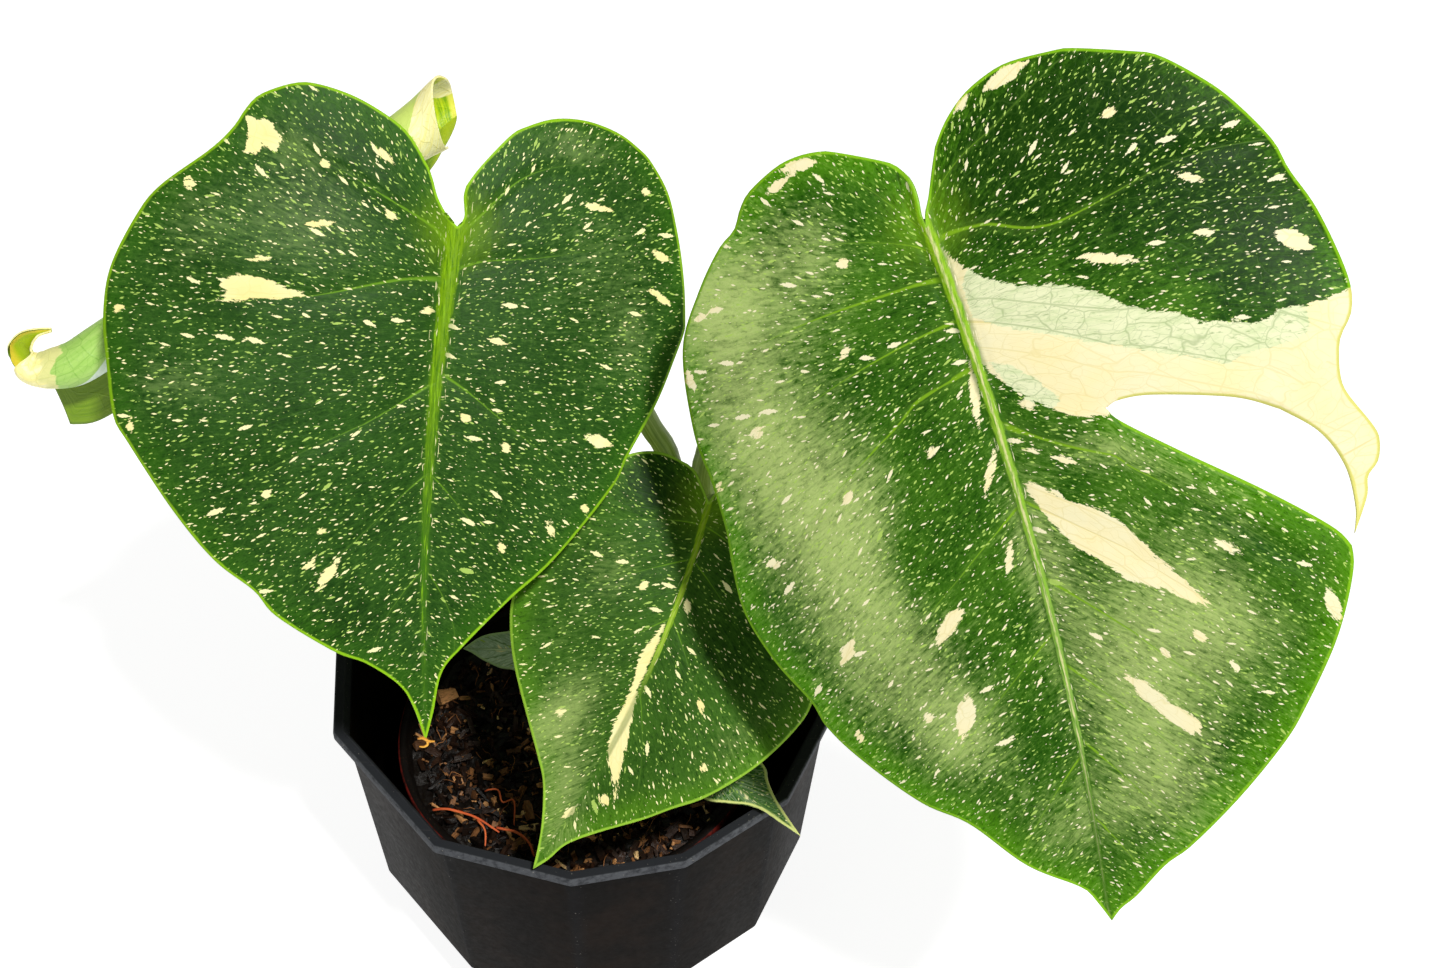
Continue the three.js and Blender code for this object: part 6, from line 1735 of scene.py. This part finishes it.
# %% Dry tip
LEFT_TIP = Vector(LEAVES["left"]["tip"])
DRY_TIP = [([(-2.6, 0.4, 0.2), (-0.8, 0.2, 0.9), (1.2, -0.4, 0.3), (3.2, -0.6, 0.5)], 0.5),
           ([(0, 0.5, 0.6), (0.8, -0.8, -0.8), (-0.4, -1.4, -1.6), (-2, -1.2, -1.8)], 0.42)]
dry_tip = bmesh.new()
for path, radius in DRY_TIP:
    path = [tuple(LEFT_TIP + Vector(point)) for point in path]
    add_stalk(dry_tip, path, [radius * 0.7, radius, radius * 0.6], 12, 8, bumps=0.3)
bmesh.ops.recalc_face_normals(dry_tip, faces=dry_tip.faces)
straw = stalk_skin("dry_leaf_skin", paint(206, 132, 30), paint(244, 184, 70), paint(150, 84, 22), 0.6)
place_piece("dry_tip_of_left_leaf", dry_tip, [straw])
print("the left leaf ends in a dry tip of", len(DRY_TIP), "curled threads")

# %% Coir hairs
def build_hairs(count, seed):
    """Loose hairs that rise a little from the mix and dip into it again at both ends."""
    draw = random.Random(seed)
    bm = bmesh.new()
    for _ in range(count):
        reach, turn = 58 * math.sqrt(draw.random()), draw.uniform(0, 2 * math.pi)
        x, y = GROW_CENTRE.x + math.cos(turn) * reach, GROW_CENTRE.y + math.sin(turn) * reach
        way, length = draw.uniform(0, 2 * math.pi), draw.uniform(6, 16)
        path = []
        for step in range(5):
            ahead = (step / 4 - 0.5) * length
            bend = draw.uniform(-1.2, 1.2)
            px, py = x + math.cos(way) * ahead - math.sin(way) * bend, y + math.sin(way) * ahead + math.cos(way) * bend
            lift = 2.6 * math.sin(step / 4 * math.pi) + draw.uniform(0, 0.8)
            path.append((px, py, SOIL_LEVEL + soil_relief(px, py) + lift - 0.4))
        add_stalk(bm, path, [0.12, 0.2, 0.16, 0.1], 7, 4)
    bmesh.ops.recalc_face_normals(bm, faces=bm.faces)
    return bm


HAIR_COUNT = 110
hair = stalk_skin("coir_hair", paint(110, 66, 34), paint(160, 106, 60), paint(70, 42, 24), 0.8)
place_piece("coir_hairs", build_hairs(HAIR_COUNT, 5), [hair])

# %% [markdown]
